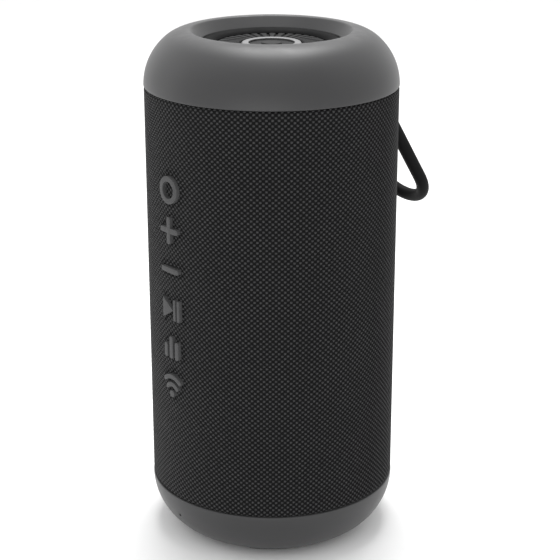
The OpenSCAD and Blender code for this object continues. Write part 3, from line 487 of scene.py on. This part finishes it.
def woven(name, knot, gap):
    material, tree, shader = new_finish(name)
    where = place(tree)
    split = node(tree, "ShaderNodeSeparateXYZ", {"Vector": where}).outputs
    turn = math_node(tree, "ARCTAN2", split["Y"], split["X"])
    across = math_node(tree, "COSINE", math_node(tree, "MULTIPLY", turn, KNOT_COLUMNS))
    rows = math_node(tree, "MULTIPLY", math_node(tree, "SUBTRACT", split["Z"], sleeve_low * MM),
                     math.pi / (row_h * MM))
    wave = math_node(tree, "MULTIPLY", across, math_node(tree, "COSINE", rows))
    fibre = speckle(tree, 0.16, 3.0, where)
    uneven = speckle(tree, 1.7, 2.0, where)
    wide = speckle(tree, 30.0, 2.0, where)
    # The knot mask follows the weave's height, so the colour darkens into the gaps: partly the cloth's dark
    # ground, partly painted shade in the hollows.
    knots = node(tree, "ShaderNodeMapRange", {"Value": wave},
                 {"From Min": -0.15, "From Max": 0.85, "To Min": 0.0, "To Max": 1.0},
                 interpolation_type="SMOOTHSTEP").outputs[0]
    knot_tone_with_painted_gap_shade = math_node(tree, "MULTIPLY", knots, between(tree, uneven, 0.7, 1.25, 0.3, 0.7))
    knot_tone_with_painted_gap_shade = math_node(tree, "MULTIPLY", knot_tone_with_painted_gap_shade, between(tree, fibre, 0.75, 1.2, 0.3, 0.7))
    knot_tone_with_painted_gap_shade = math_node(tree, "MULTIPLY", knot_tone_with_painted_gap_shade, between(tree, wide, 0.93, 1.07, 0.3, 0.7))
    tree.links.new(two_colours(tree, knot_tone_with_painted_gap_shade, gap, knot), shader.inputs["Base Color"])
    tree.links.new(between(tree, fibre, 0.62, 0.85, 0.3, 0.7), shader.inputs["Roughness"])
    height = math_node(tree, "ADD", wave, math_node(tree, "MULTIPLY", fibre, 0.25))
    relief(tree, shader, height, WEAVE_DEPTH)
    shader.inputs["Specular IOR Level"].default_value = 0.08
    shader.inputs["Sheen Weight"].default_value = 0.06
    shader.inputs["Sheen Roughness"].default_value = 0.4
    return material


# The near-black gap colour is partly the cloth's dark ground and partly painted shade between the knots.
weave_finish = woven("woven_black", (0.052, 0.052, 0.053), (0.005, 0.005, 0.0053))
print(KNOT_COLUMNS, "knots round,", row_count, "rows,", round(row_h, 3), "mm apart")

# %% [markdown]
# ## Where the cloth is cut
# The sleeve is cut out round every symbol, the two loop slots and the charging cover. Those
# outlines are already on the engineered sleeve, so we read them off it: each is the line
# where its round outside meets a cut wall. That way cloth and rubber can never disagree.

# %% Read the outlines of the cuts
def outlines_of_cuts():
    work = bmesh.new()
    work.from_mesh(frame["nodes"]["fabric_sleeve"].data)
    bmesh.ops.remove_doubles(work, verts=work.verts, dist=1e-6)
    outside_r = 44.75 * MM

    def is_outer(face):
        middle = face.calc_center_median()
        radial = Vector((middle.x, middle.y, 0)).normalized()
        far_out = all(math.hypot(v.co.x, v.co.y) > outside_r for v in face.verts)
        return far_out and abs(face.normal.dot(radial)) > 0.9

    outer = {face.index: is_outer(face) for face in work.faces}
    neighbours = {}
    for edge in work.edges:
        if len(edge.link_faces) != 2 or outer[edge.link_faces[0].index] == outer[edge.link_faces[1].index]:
            continue
        if all(min(v.co.z / MM - sleeve_low, sleeve_high - v.co.z / MM) < 0.05 for v in edge.verts):
            continue
        a, b = (v.index for v in edge.verts)
        neighbours.setdefault(a, []).append(b)
        neighbours.setdefault(b, []).append(a)
    work.verts.ensure_lookup_table()
    spots = {i: work.verts[i].co.copy() for i in neighbours}
    work.free()
    loops, left = [], set(neighbours)
    while left:
        chain = [min(left)]
        left.discard(chain[0])
        while True:
            onward = [n for n in neighbours[chain[-1]] if n in left]
            if not onward:
                break
            chain.append(onward[0])
            left.discard(onward[0])
        loops.append([spots[i] for i in chain])
    return loops


cuts = outlines_of_cuts()
print(len(cuts), "cuts in the cloth, with", sum(len(c) for c in cuts), "points")

# %% [markdown]
# ## Laying the cloth flat
# It is easiest to work on the cloth unrolled, as a flat sheet of columns and rows. Most of
# it is a plain grid. Only near the cuts do we need odd shapes, so there we hand the grid
# points and the outlines to a triangulator, which keeps every outline as an edge, and drop
# the triangles inside. Then the whole sheet is rolled up, bumped and given its thickness.

# %% Weave the sleeve
half_columns = 2 * KNOT_COLUMNS
column_w = math.tau * WEAVE_R / half_columns


def unroll(point):
    turn = math.atan2(point.y, point.x) % math.tau
    return turn / math.tau * half_columns, (point.z / MM - sleeve_low) / row_h


def roll_up(s, t):
    """A point of the flat sheet on the body, with its bump, tucked in at the two hems."""
    end = min(t, row_count - t) * row_h
    tuck = 0.42 * max(0.0, 1 - end / 0.8) ** 2
    r = WEAVE_R + WEAVE_DEPTH * float(weave_height(s, t)) - tuck
    turn = s / half_columns * math.tau
    return r * math.cos(turn), r * math.sin(turn), sleeve_low + t * row_h


def inside(polygon, x, y):
    hits = False
    for (x0, y0), (x1, y1) in zip(polygon, polygon[1:] + polygon[:1]):
        if (y0 > y) != (y1 > y) and x < x0 + (y - y0) / (y1 - y0) * (x1 - x0):
            hits = not hits
    return hits


def thinned(points, gap):
    kept = [points[0]]
    for p in points[1:]:
        if math.dist(p, kept[-1]) > gap and math.dist(p, points[0]) > gap:
            kept.append(p)
    return kept


flat_cuts = [thinned([(s * column_w, t * row_h) for s, t in map(unroll, c)], 0.12) for c in cuts]
flat_cuts = [c for c in flat_cuts if len(c) > 3]
groups = []
for cut_line in flat_cuts:
    mid_s = np.mean([p[0] for p in cut_line]) / column_w / half_columns
    mid_t = np.mean([p[1] for p in cut_line]) / row_h / row_count
    key = "buttons" if mid_s > 0.5 else ("loop" if mid_t > 0.5 else "port")
    groups.append((key, cut_line))
windows = {}
for key, cut_line in groups:
    box = windows.setdefault(key, [1e9, -1e9, 1e9, -1e9, []])
    xs, ys = [p[0] / column_w for p in cut_line], [p[1] / row_h for p in cut_line]
    box[:4] = [min(box[0], min(xs)), max(box[1], max(xs)), min(box[2], min(ys)), max(box[3], max(ys))]
    box[4].append(cut_line)
for box in windows.values():
    box[:4] = [math.floor(box[0]) - 2, math.ceil(box[1]) + 2, math.floor(box[2]) - 2, math.ceil(box[3]) + 2]
print({key: box[:4] for key, box in windows.items()})


def patch(box):
    """Faces for one window of the sheet, as points in columns and rows, with the cuts left open."""
    s0, s1, t0, t1, lines = box
    points, edges = [], []
    for line in lines:
        start = len(points)
        points += line
        edges += [(start + i, start + (i + 1) % len(line)) for i in range(len(line))]
    rim = [(s, t0) for s in range(s0, s1)] + [(s1, t) for t in range(t0, t1)]
    rim += [(s, t1) for s in range(s1, s0, -1)] + [(s0, t) for t in range(t1, t0, -1)]
    start = len(points)
    points += [(s * column_w, t * row_h) for s, t in rim]
    edges += [(start + i, start + (i + 1) % len(rim)) for i in range(len(rim))]
    on_line = np.array([p for line in lines for p in line])
    nearest = {(s, t): np.min(np.hypot(on_line[:, 0] - s * column_w, on_line[:, 1] - t * row_h))
               for s in range(s0, s1 + 1) for t in range(t0, t1 + 1)}
    hidden = {spot for spot in nearest
              if any(inside(line, spot[0] * column_w, spot[1] * row_h) for line in lines)}
    for s in range(s0 + 1, s1):
        for t in range(t0 + 1, t1):
            if nearest[s, t] >= 0.35 and (s, t) not in hidden:
                points.append((s * column_w, t * row_h))
    squares = []
    for s in range(s0, s1):
        for t in range(t0, t1):
            corners = ((s, t), (s + 1, t), (s + 1, t + 1), (s, t + 1))
            if all(nearest[c] > 0.9 and c not in hidden for c in corners):
                squares.append(corners)
    index = {(round(p[0] / column_w, 3), round(p[1] / row_h, 3)): i for i, p in enumerate(points)}
    for corners in squares:
        edges += [(index[a], index[b]) for a, b in zip(corners, corners[1:] + corners[:1])]
    found, _, triangles, *_ = delaunay_2d_cdt([Vector(p) for p in points], edges, [], 1, 1e-6)
    found = [(p[0] / column_w, p[1] / row_h) for p in found]
    place_of = {(round(p[0], 3), round(p[1], 3)): i for i, p in enumerate(found)}
    kept = [tuple(place_of[c] for c in corners) for corners in squares]
    whole = {corners[0] for corners in squares}
    for triangle in triangles:
        s = sum(found[i][0] for i in triangle) / 3
        t = sum(found[i][1] for i in triangle) / 3
        if (math.floor(s), math.floor(t)) in whole:
            continue
        if not any(inside(line, s * column_w, t * row_h) for line in lines):
            kept.append(tuple(triangle))
    return found, kept


def in_window(s, t):
    return any(b[0] <= s < b[1] and b[2] <= t < b[3] for b in windows.values())


sheet_points = [(s, t) for t in range(row_count + 1) for s in range(half_columns)]
sheet_faces = [(t * half_columns + s, t * half_columns + (s + 1) % half_columns,
                (t + 1) * half_columns + (s + 1) % half_columns, (t + 1) * half_columns + s)
               for t in range(row_count) for s in range(half_columns) if not in_window(s, t)]
flat_points, flat_faces = join_lists((sheet_points, sheet_faces), *(patch(b) for b in windows.values()))
used = sorted({i for face in flat_faces for i in face})
renumber = {old: new for new, old in enumerate(used)}
cloth_points = [roll_up(*flat_points[i]) for i in used]
cloth_faces = [tuple(renumber[i] for i in face) for face in flat_faces]
cloth = make_mesh("cloth", cloth_points, cloth_faces, sharp_deg=180)
CLOTH_THICKNESS = 0.75
cloth = with_modifier(cloth, "SOLIDIFY", thickness=CLOTH_THICKNESS * MM, offset=-1.0, use_even_offset=False)
cloth.shade_smooth()
cloth.set_sharp_from_angle(angle=math.radians(60))
piece("woven_sleeve", cloth, "body", "sleeve_fabric", weave_finish, "fabric_sleeve")

# %% [markdown]
# ## Rounding the small mouldings
# The engineered symbols, covers and rings have the right shape, but their edges are perfect
# knives. A copy of each gets a small bevel wherever two faces meet at a real corner. The
# flat facets are first merged, so the bevel sees one clean edge and not a fan of slivers.

# %% Helper that rounds a part's edges
def softened(part, width_mm, rounds=3, merge_deg=1.0):
    work = bmesh.new()
    work.from_mesh(frame["nodes"][part].data)
    bmesh.ops.remove_doubles(work, verts=work.verts, dist=1e-6)
    bmesh.ops.dissolve_limit(work, angle_limit=math.radians(merge_deg), verts=work.verts, edges=work.edges)
    mesh = bpy.data.meshes.new(part)
    work.to_mesh(mesh)
    work.free()
    mesh = with_modifier(mesh, "BEVEL", width=width_mm * MM, segments=rounds, limit_method="ANGLE",
                         angle_limit=math.radians(38), use_clamp_overlap=True, miter_outer="MITER_ARC")
    mesh.shade_smooth()
    mesh.set_sharp_from_angle(angle=math.radians(42))
    return mesh


# %% [markdown]
# ## The rubber symbols
# Each button is a lighter grey rubber symbol that stands 0.9 mm proud of the weave. One
# finish covers the whole symbol, with the same grain, drift and smoother patches all over.

# %% Buttons
button_finish = moulded("button_rubber_grey", (0.058, 0.058, 0.059), 0.6, grain_mm=0.25, depth_mm=0.010,
                        drift=0.07, gloss=0.2, sheen=0.03, patch_mm=4.0)
BUTTONS = ("power_button", "volume_up_button", "volume_down_button", "play_pause_button", "mode_button",
           "pairing_button")
for name in BUTTONS:
    piece(name + "_rubber", softened(name, 0.28), name, "button_rubber", button_finish, name)

# %% [markdown]
# ## The dot of cloth in the power button
# Inside the ring a small disc of the same cloth rides in and out with the button. It is
# made in rings on the same waves as the sleeve, so its knots line up with those outside.

# %% Cloth dot
dot_low, dot_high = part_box("power_button_patch")
DOT_RINGS, DOT_TURNS = 16, 72
dot_r = (dot_high.x - dot_low.x) / 2 / MM
dot_z = (dot_high.z + dot_low.z) / 2 / MM
front_points, back_points = [], []
for ring_index in range(DOT_RINGS + 1):
    r = dot_r * ring_index / DOT_RINGS
    edge_drop = 0.25 * max(0.0, (ring_index - DOT_RINGS + 2) / 2) ** 2
    for a in np.linspace(0, math.tau, DOT_TURNS, endpoint=False):
        x, z = r * math.cos(a), dot_z + r * math.sin(a)
        turn = math.atan2(-math.sqrt(WEAVE_R**2 - x * x), x) % math.tau
        wave = float(weave_height(turn / math.tau * half_columns, (z - sleeve_low) / row_h))
        reach = math.sqrt(WEAVE_R**2 - x * x) + WEAVE_DEPTH * wave - edge_drop
        front_points.append((x, -reach, z))
        back_points.append((x, -reach + 0.7, z))
rings = len(front_points)
dot_faces = []
for ring_index in range(DOT_RINGS):
    for k in range(DOT_TURNS):
        a, b = ring_index * DOT_TURNS + k, ring_index * DOT_TURNS + (k + 1) % DOT_TURNS
        dot_faces += [(a, b, b + DOT_TURNS, a + DOT_TURNS),
                      (a + rings, a + DOT_TURNS + rings, b + DOT_TURNS + rings, b + rings)]
rim_start = DOT_RINGS * DOT_TURNS
for k in range(DOT_TURNS):
    a, b = rim_start + k, rim_start + (k + 1) % DOT_TURNS
    dot_faces.append((a, b, b + rings, a + rings))
piece("power_button_cloth_dot", make_mesh("cloth_dot", front_points + back_points, dot_faces, sharp_deg=60),
      "power_button", "patch_fabric", weave_finish, "power_button_patch")

# %% [markdown]
# ## The ribbed radiator discs
# Each end has a stiff disc with fine ribs that fan out from its middle. The grooves keep an
# even width, so the ribs widen outward. We sweep a grid round the disc and lift it where a
# rib stands, with soft shoulders, and let the rib fade out at both ends.

# %% Disc finish and mesh
disc_finish = moulded("disc_plastic", (0.014, 0.014, 0.0145), 0.5, grain_mm=0.2, depth_mm=0.008,
                      drift=0.08, gloss=0.12)
RIBS, STEPS_PER_RIB = 36, 14
disc_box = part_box("top_radiator_disc")
DISC_R = disc_box[1].x / MM
rib_top, disc_low = disc_box[1].z / MM, disc_box[0].z / MM
RIB_H, HUB_R, GROOVE_W = 0.6, 10.8, 0.75
floor_z = rib_top - RIB_H


def rounded_step(x, width):
    x = min(1.0, max(0.0, x / width))
    return math.sqrt(1 - (1 - x) ** 2)


def rib_lift(r, a):
    """How far the surface stands above the groove floor at radius r and angle a."""
    if r <= HUB_R:
        return RIB_H / 2
    pitch = math.tau / RIBS
    off = abs((a / pitch) - round(a / pitch)) * pitch
    half = r * math.tan(pitch / 2) - GROOVE_W / 2
    side = rounded_step(half - r * math.tan(off), 0.32)
    ends = rounded_step(r - HUB_R - 0.45, 0.4) * rounded_step(DISC_R - 0.95 - r, 0.5)
    return RIB_H * side * ends


radii = [0.0, 5.0, HUB_R - 0.3, HUB_R, HUB_R + 0.02, HUB_R + 0.45]
radii += [HUB_R + 0.45 + d for d in (0.05, 0.15, 0.3, 0.45)]
radii += list(np.linspace(12.2, DISC_R - 1.6, 10))
radii += [DISC_R - d for d in (1.4, 1.2, 1.05, 0.95, 0.5, 0.12, 0.0)]
disc_turns = RIBS * STEPS_PER_RIB
disc_angles = np.arange(disc_turns) * math.tau / disc_turns
disc_points = []
for r in radii:
    for a in disc_angles:
        z = floor_z + rib_lift(r, a) - (0.12 if r == DISC_R else 0.0)
        disc_points.append((r * math.cos(a), r * math.sin(a), z))
for r, z in ((DISC_R, disc_low + 0.15), (DISC_R - 0.15, disc_low), (0.0, disc_low)):
    disc_points += [(r * math.cos(a), r * math.sin(a), z) for a in disc_angles]
disc_faces = []
for ring_index in range(len(disc_points) // disc_turns - 1):
    for k in range(disc_turns):
        a, b = ring_index * disc_turns + k, ring_index * disc_turns + (k + 1) % disc_turns
        disc_faces.append((a, b, b + disc_turns, a + disc_turns))
piece("top_ribbed_disc", make_mesh("top_ribbed_disc", disc_points, disc_faces), "top_radiator",
      "disc_plastic", disc_finish, "top_radiator_disc")
flipped = [(x, y, mirror_sum - z) for x, y, z in disc_points]
piece("bottom_ribbed_disc", make_mesh("bottom_ribbed_disc", flipped, disc_faces), "bottom_radiator",
      "disc_plastic", disc_finish, "bottom_radiator_disc")

# %% [markdown]
# ## The medallion
# A plain satin ring with a dark boss decorates the upper disc. A turned metal face shows
# circles of fine brushing, so its noise is read along the distance from the axis only.

# %% Medallion
def turned_metal(name, colour, rough):
    material, tree, shader = new_finish(name)
    where = place(tree)
    flat = node(tree, "ShaderNodeVectorMath", {0: where}, {1: (1.0, 1.0, 0.0)},
                operation="MULTIPLY").outputs[0]
    out = node(tree, "ShaderNodeVectorMath", {0: flat}, operation="LENGTH").outputs["Value"]
    line = node(tree, "ShaderNodeTexNoise", {"W": math_node(tree, "MULTIPLY", out, 1 / (0.08 * MM))},
                {"Scale": 1.0, "Detail": 2.0}, noise_dimensions="1D").outputs["Fac"]
    cloud = speckle(tree, 3.0, 2.0, where)
    tint = two_colours(tree, cloud, shade(colour, 0.92), shade(colour, 1.06))
    tree.links.new(tint, shader.inputs["Base Color"])
    tree.links.new(between(tree, line, rough - 0.08, rough + 0.1, 0.3, 0.7), shader.inputs["Roughness"])
    relief(tree, shader, line, 0.004)
    shader.inputs["Metallic"].default_value = 1.0
    return material


medallion_finish = turned_metal("medallion_satin", (0.24, 0.24, 0.243), 0.5)
boss_finish = moulded("boss_plastic", (0.014, 0.014, 0.0145), 0.45, grain_mm=0.2, depth_mm=0.006, gloss=0.12)
MEDALLION_EDGE = 0.10
piece("medallion_ring_satin", softened("medallion_ring", MEDALLION_EDGE), "top_radiator", "medallion_metal",
      medallion_finish, "medallion_ring")
piece("medallion_boss", softened("medallion_dot", MEDALLION_EDGE), "top_radiator", "disc_plastic",
      boss_finish, "medallion_dot")

# %% [markdown]
# ## The rubber surrounds
# A radiator disc and a driver cone hang in a ring of rubber with one low roll. The outer
# rim is clamped and the inner edge moves with the disc. Each copy works out, for every point,
# how much of the disc's travel it would share: all at the inner edge, none at the clamp.
# That share is not applied, and the copy is not attached to the moving part, so it stays put.

# %% Surround copies
surround_finish = moulded("surround_rubber", (0.005, 0.005, 0.0052), 0.6, grain_mm=0.35, depth_mm=0.006,
                          gloss=0.05)
CONE_EDGE_R, CONE_CLAMP_R = 16.4, 18.4


def stretching(part, moving, axis, middle, inner_mm, outer_mm):
    """A copy of a surround in the surround finish. It works out how far each point would follow the moving
    body, all at its inner edge and none at the rim, but does not apply it.
    """
    mesh = frame["nodes"][part].data.copy()
    tidy_mesh(mesh)
    mesh.materials.clear()
    mesh.materials.append(surround_finish)
    made = new_object(part + "_roll", mesh)
    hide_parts(part)
    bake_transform(made)
    spots = np.array([v.co for v in mesh.vertices], float) - np.array(middle)
    along = spots @ np.array(axis)
    out = np.linalg.norm(spots - np.outer(along, np.array(axis)), axis=1) / MM
    share = np.clip((outer_mm - out) / (outer_mm - inner_mm), 0, 1)
    share = share * share * (3 - 2 * share)
    print(part, "follows", moving, "between", inner_mm, "and", outer_mm, "mm")


for radiator in ("top_radiator", "bottom_radiator"):
    stretching(radiator + "_surround", radiator, Vector((0, 0, 1)), Vector((0, 0, 0)), DISC_R + 0.8, MOUTH_R)
driver_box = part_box("driver_frame_right")
driver_mid = Vector((0, 0, (driver_box[0].z + driver_box[1].z) / 2))
for side_name in ("right", "left"):
    stretching("driver_surround_" + side_name, "driver_cone_" + side_name, Vector((1, 0, 0)), driver_mid,
               CONE_EDGE_R, CONE_CLAMP_R)

# %% [markdown]
# ## The carry loop
# The loop is one smooth rubber rod bent into a long U. A rod follows a line, so we lay out
# the line first: out of the slot, over a soft elbow, straight down the leg and round the
# half circle. Carrying the same frame along the line keeps the rod from twisting.

# %% Loop line and rod
loop_finish = moulded("loop_rubber", (0.0045, 0.0045, 0.0048), 0.6, grain_mm=0.4, depth_mm=0.006,
                      drift=0.12, gloss=0.08, patch_mm=9.0)
LOOP_R, LEG_X = 2.4, 13.0
PIVOT = (39.2, 152.5)
ELBOW = (44.0, 151.4)
TILT = math.radians(33)
LEG_LEN = 31.6
down = (math.sin(TILT), -math.cos(TILT))


def along_leg(x, far):
    return (x, ELBOW[0] + down[0] * far, ELBOW[1] + down[1] * far)


def smooth_line(points, step):
    """A curve through the points (Catmull-Rom), cut into even steps."""
    points = [np.array(p, float) for p in points]
    padded = [2 * points[0] - points[1]] + points + [2 * points[-1] - points[-2]]
    fine = []
    for p0, p1, p2, p3 in zip(padded, padded[1:], padded[2:], padded[3:]):
        for t in np.linspace(0, 1, 24, endpoint=False):
            fine.append(0.5 * (2 * p1 + (p2 - p0) * t + (2 * p0 - 5 * p1 + 4 * p2 - p3) * t**2
                               + (3 * p1 - p0 - 3 * p2 + p3) * t**3))
    fine.append(points[-1])
    fine = np.array(fine)
    length = np.concatenate([[0], np.cumsum(np.linalg.norm(np.diff(fine, axis=0), axis=1))])
    marks = np.linspace(0, length[-1], max(2, int(length[-1] / step)))
    return np.stack([np.interp(marks, length, fine[:, k]) for k in range(3)], 1)


def rod(line, radius, sides):
    """A round rod along a line, with flat ends. radius is a number or one for each point."""
    radii = np.full(len(line), radius) if np.isscalar(radius) else np.array(radius)
    heading = np.gradient(line, axis=0)
    heading /= np.linalg.norm(heading, axis=1)[:, None]
    across = np.cross(heading[0], (0, 0, 1.0))
    across /= np.linalg.norm(across)
    points, faces = [], []
    for spot, ahead_dir, r in zip(line, heading, radii):
        across = across - ahead_dir * (across @ ahead_dir)
        across /= np.linalg.norm(across)
        other = np.cross(ahead_dir, across)
        for a in np.linspace(0, math.tau, sides, endpoint=False):
            points.append(tuple(spot + r * (math.cos(a) * across + math.sin(a) * other)))
    for i in range(len(line) - 1):
        for k in range(sides):
            a, b = i * sides + k, i * sides + (k + 1) % sides
            faces.append((a, b, b + sides, a + sides))
    faces.append(tuple(range(sides)))
    faces.append(tuple(range(len(points) - sides, len(points))))
    return points, faces


leg = [(LEG_X, PIVOT[0] + 1.7, PIVOT[1]), (LEG_X, PIVOT[0] + 3.4, PIVOT[1] - 0.2), along_leg(LEG_X, 1.2),
       along_leg(LEG_X, 4.0)] + [along_leg(LEG_X, f) for f in np.linspace(8, LEG_LEN, 6)]
bow = [(LEG_X * math.cos(a), *along_leg(0, LEG_LEN + LEG_X * math.sin(a))[1:])
       for a in np.linspace(0, math.pi, 17)[1:-1]]
loop_line = smooth_line(leg + bow + [(-x, y, z) for x, y, z in reversed(leg)], 0.8)
thick = np.full(len(loop_line), LOOP_R)
thick[:3] = thick[-3:] = LOOP_R - 0.15
loop_mesh = make_mesh("loop", *rod(loop_line, thick, 32))
EYE_R, EYE_W, PIN_R = 2.8, 4.6, 1.05
eye_profile = [(PIN_R, -EYE_W / 2 + 0.2), (PIN_R + 0.2, -EYE_W / 2)]
EYE_EDGE = 0.6
eye_profile += bend((EYE_R - EYE_EDGE, -EYE_W / 2 + EYE_EDGE), EYE_EDGE, -90, 0, 6)
eye_profile += bend((EYE_R - EYE_EDGE, EYE_W / 2 - EYE_EDGE), EYE_EDGE, 0, 90, 6)
eye_profile += [(PIN_R + 0.2, EYE_W / 2), (PIN_R, EYE_W / 2 - 0.2)]
for side_sign in (1, -1):
    eye_points, eye_faces = turned(eye_profile, 48)
    eye_points = [(side_sign * LEG_X + z, PIVOT[0] + x, PIVOT[1] + y) for x, y, z in eye_points]
    loop_mesh = cut(loop_mesh, make_mesh("eye", eye_points, eye_faces), "UNION")
loop_mesh.shade_smooth()
loop_mesh.set_sharp_from_angle(angle=math.radians(50))
piece("carry_loop_rod", loop_mesh, "carry_loop", "loop_rubber", loop_finish, "carry_loop")

# %% [markdown]
# ## The rest of the outside
# The block behind the loop's slots, the charging cover and its housing, and the foot ring
# only need rounded edges and the right plastic or rubber.

# %% Small outer mouldings
black_plastic = moulded("black_plastic", (0.016, 0.016, 0.017), 0.5, grain_mm=0.35, depth_mm=0.015, gloss=0.3)
port_finish = moulded("port_rubber", (0.021, 0.021, 0.022), 0.55, grain_mm=0.3, depth_mm=0.012, gloss=0.3,
                      sheen=0.06)
foot_finish = moulded("foot_rubber", (0.018, 0.018, 0.019), 0.7, grain_mm=0.5, depth_mm=0.03, gloss=0.25)
piece("loop_mount_block", softened("loop_mount", 0.35), "body", "port_plastic", black_plastic, "loop_mount")
piece("port_cover_flap", softened("port_cover", 0.22), "port_cover", "port_rubber", port_finish, "port_cover")
piece("port_housing_block", softened("port_housing", 0.2), "body", "port_plastic", black_plastic,
      "port_housing")
piece("foot_ring_rubber", softened("foot_ring", 0.2), "body", "foot_rubber", foot_finish, "foot_ring")

# %% [markdown]
# ## Finishes for what is inside
# Nobody sees the inside until the speaker is opened, but every part still gets the stuff it
# is made of: foam seals, paper cones, ferrite magnets, wrapped cells, a green board with
# copper tracks, zinc screws and stamped steel.

# %% Inside finishes
def circuit_board(name):
    material, tree, shader = new_finish(name)
    where = place(tree)
    flat = node(tree, "ShaderNodeVectorMath", {0: where}, {1: (1.0, 0.0, 1.0)},
                operation="MULTIPLY").outputs[0]
    bricks = node(tree, "ShaderNodeTexBrick", {"Vector": node(tree, "ShaderNodeMapping", {"Vector": where},
                  {"Rotation": (math.pi / 2, 0, 0)}).outputs[0]},
                  {"Scale": 1 / (5.0 * MM), "Mortar Size": 0.03, "Color1": (0.010, 0.085, 0.030, 1),
                   "Color2": (0.012, 0.100, 0.036, 1), "Mortar": (0.020, 0.160, 0.060, 1)})
    dots = node(tree, "ShaderNodeTexVoronoi", {"Vector": flat}, {"Scale": 1 / (2.6 * MM)}).outputs["Distance"]
    pads = between(tree, dots, 1, 0, 0.14, 0.17)
    mix = node(tree, "ShaderNodeMix", {"A": bricks.outputs["Color"], "Factor": pads}, data_type="RGBA")
    mix.inputs["B"].default_value = (0.55, 0.50, 0.36, 1)
    tree.links.new(mix.outputs["Result"], shader.inputs["Base Color"])
    tree.links.new(between(tree, dots, 0.3, 0.45), shader.inputs["Roughness"])
    relief(tree, shader, bricks.outputs["Fac"], 0.02)
    return material


def brushed(name, colour, rough, metal=1.0, stretch=(1, 1, 12)):
    """Metal or copper with fine lines along one direction."""
    material, tree, shader = new_finish(name)
    where = place(tree)
    long = node(tree, "ShaderNodeVectorMath", {0: where}, {1: tuple(float(v) for v in stretch)},
                operation="MULTIPLY").outputs[0]
    lines = speckle(tree, 0.5, 3.0, long)
    cloud = speckle(tree, 6.0, 2.0, where)
    tint = two_colours(tree, cloud, shade(colour, 0.85), shade(colour, 1.1))
    tree.links.new(tint, shader.inputs["Base Color"])
    tree.links.new(between(tree, lines, rough - 0.1, rough + 0.1, 0.3, 0.7), shader.inputs["Roughness"])
    relief(tree, shader, lines, 0.01)
    shader.inputs["Metallic"].default_value = metal
    return material


inside = {
    "barrel_plastic": moulded("barrel_plastic", (0.020, 0.020, 0.021), 0.5, grain_mm=0.4, depth_mm=0.02),
    "frame_plastic": moulded("frame_plastic", (0.018, 0.018, 0.020), 0.45, grain_mm=0.3, depth_mm=0.015),
    "seal_foam": moulded("seal_foam", (0.015, 0.015, 0.015), 0.9, grain_mm=0.25, depth_mm=0.10,
                         drift=0.25, gloss=0.1),
    "screw_steel": brushed("screw_steel", (0.56, 0.56, 0.57), 0.32, stretch=(8, 8, 1)),
    "weight_steel": brushed("weight_steel", (0.50, 0.50, 0.51), 0.35, stretch=(1, 14, 1)),
    "sealing_silicone": moulded("sealing_silicone", (0.060, 0.060, 0.060), 0.5, grain_mm=1.0,
                                depth_mm=0.01, sheen=0.1),
    "board_green": circuit_board("board_green"),
    "switch_metal": brushed("switch_metal", (0.60, 0.60, 0.60), 0.28),
    "magnet_grey": moulded("magnet_grey", (0.12, 0.12, 0.125), 0.55, grain_mm=0.6, depth_mm=0.03,
                           drift=0.2, metal=0.4),
    "cone_paper": moulded("cone_paper", (0.035, 0.035, 0.035), 0.75, grain_mm=0.5, depth_mm=0.05,
                          drift=0.25, sheen=0.1),
    "coil_copper": brushed("coil_copper", (0.60, 0.28, 0.12), 0.3, stretch=(18, 1, 1)),
    "cell_wrap": moulded("cell_wrap", (0.030, 0.130, 0.350), 0.22, grain_mm=2.5, depth_mm=0.02,
                         gloss=0.5, coat=0.4),
    "strap_plastic": moulded("strap_plastic", (0.020, 0.020, 0.020), 0.5, grain_mm=0.4, depth_mm=0.02),
    "component_black": moulded("component_black", (0.020, 0.020, 0.022), 0.4, grain_mm=0.15, depth_mm=0.006),
    "module_metal": brushed("module_metal", (0.60, 0.60, 0.61), 0.3, stretch=(1, 1, 16)),
    "socket_metal": brushed("socket_metal", (0.58, 0.58, 0.58), 0.25, stretch=(1, 12, 1)),
    "port_rubber": port_finish,
    "pin_steel": brushed("pin_steel", (0.60, 0.60, 0.60), 0.25, stretch=(1, 16, 16)),
    "capsule_metal": brushed("capsule_metal", (0.60, 0.60, 0.60), 0.35, stretch=(1, 10, 1)),
    "lead_red": moulded("lead_red", (0.400, 0.020, 0.020), 0.35, grain_mm=0.6, depth_mm=0.01, gloss=0.45),
}
print(len(inside), "inside finishes")

# %% [markdown]
# ## Dressing the parts that stay
# The parts that kept their engineered mesh take the finish of the slot they belong to.

# %% Put the finishes on
slot_of = {row["node"]: row["material_slot"] for row in frame["record"]["subparts"]}
dressed = 0
for name, part in frame["nodes"].items():
    if part.hide_render:
        continue
    finish = inside[slot_of[name]]
    for material_slot in part.material_slots:
        material_slot.material = finish
    dressed += 1
print(dressed, "engineered parts dressed")
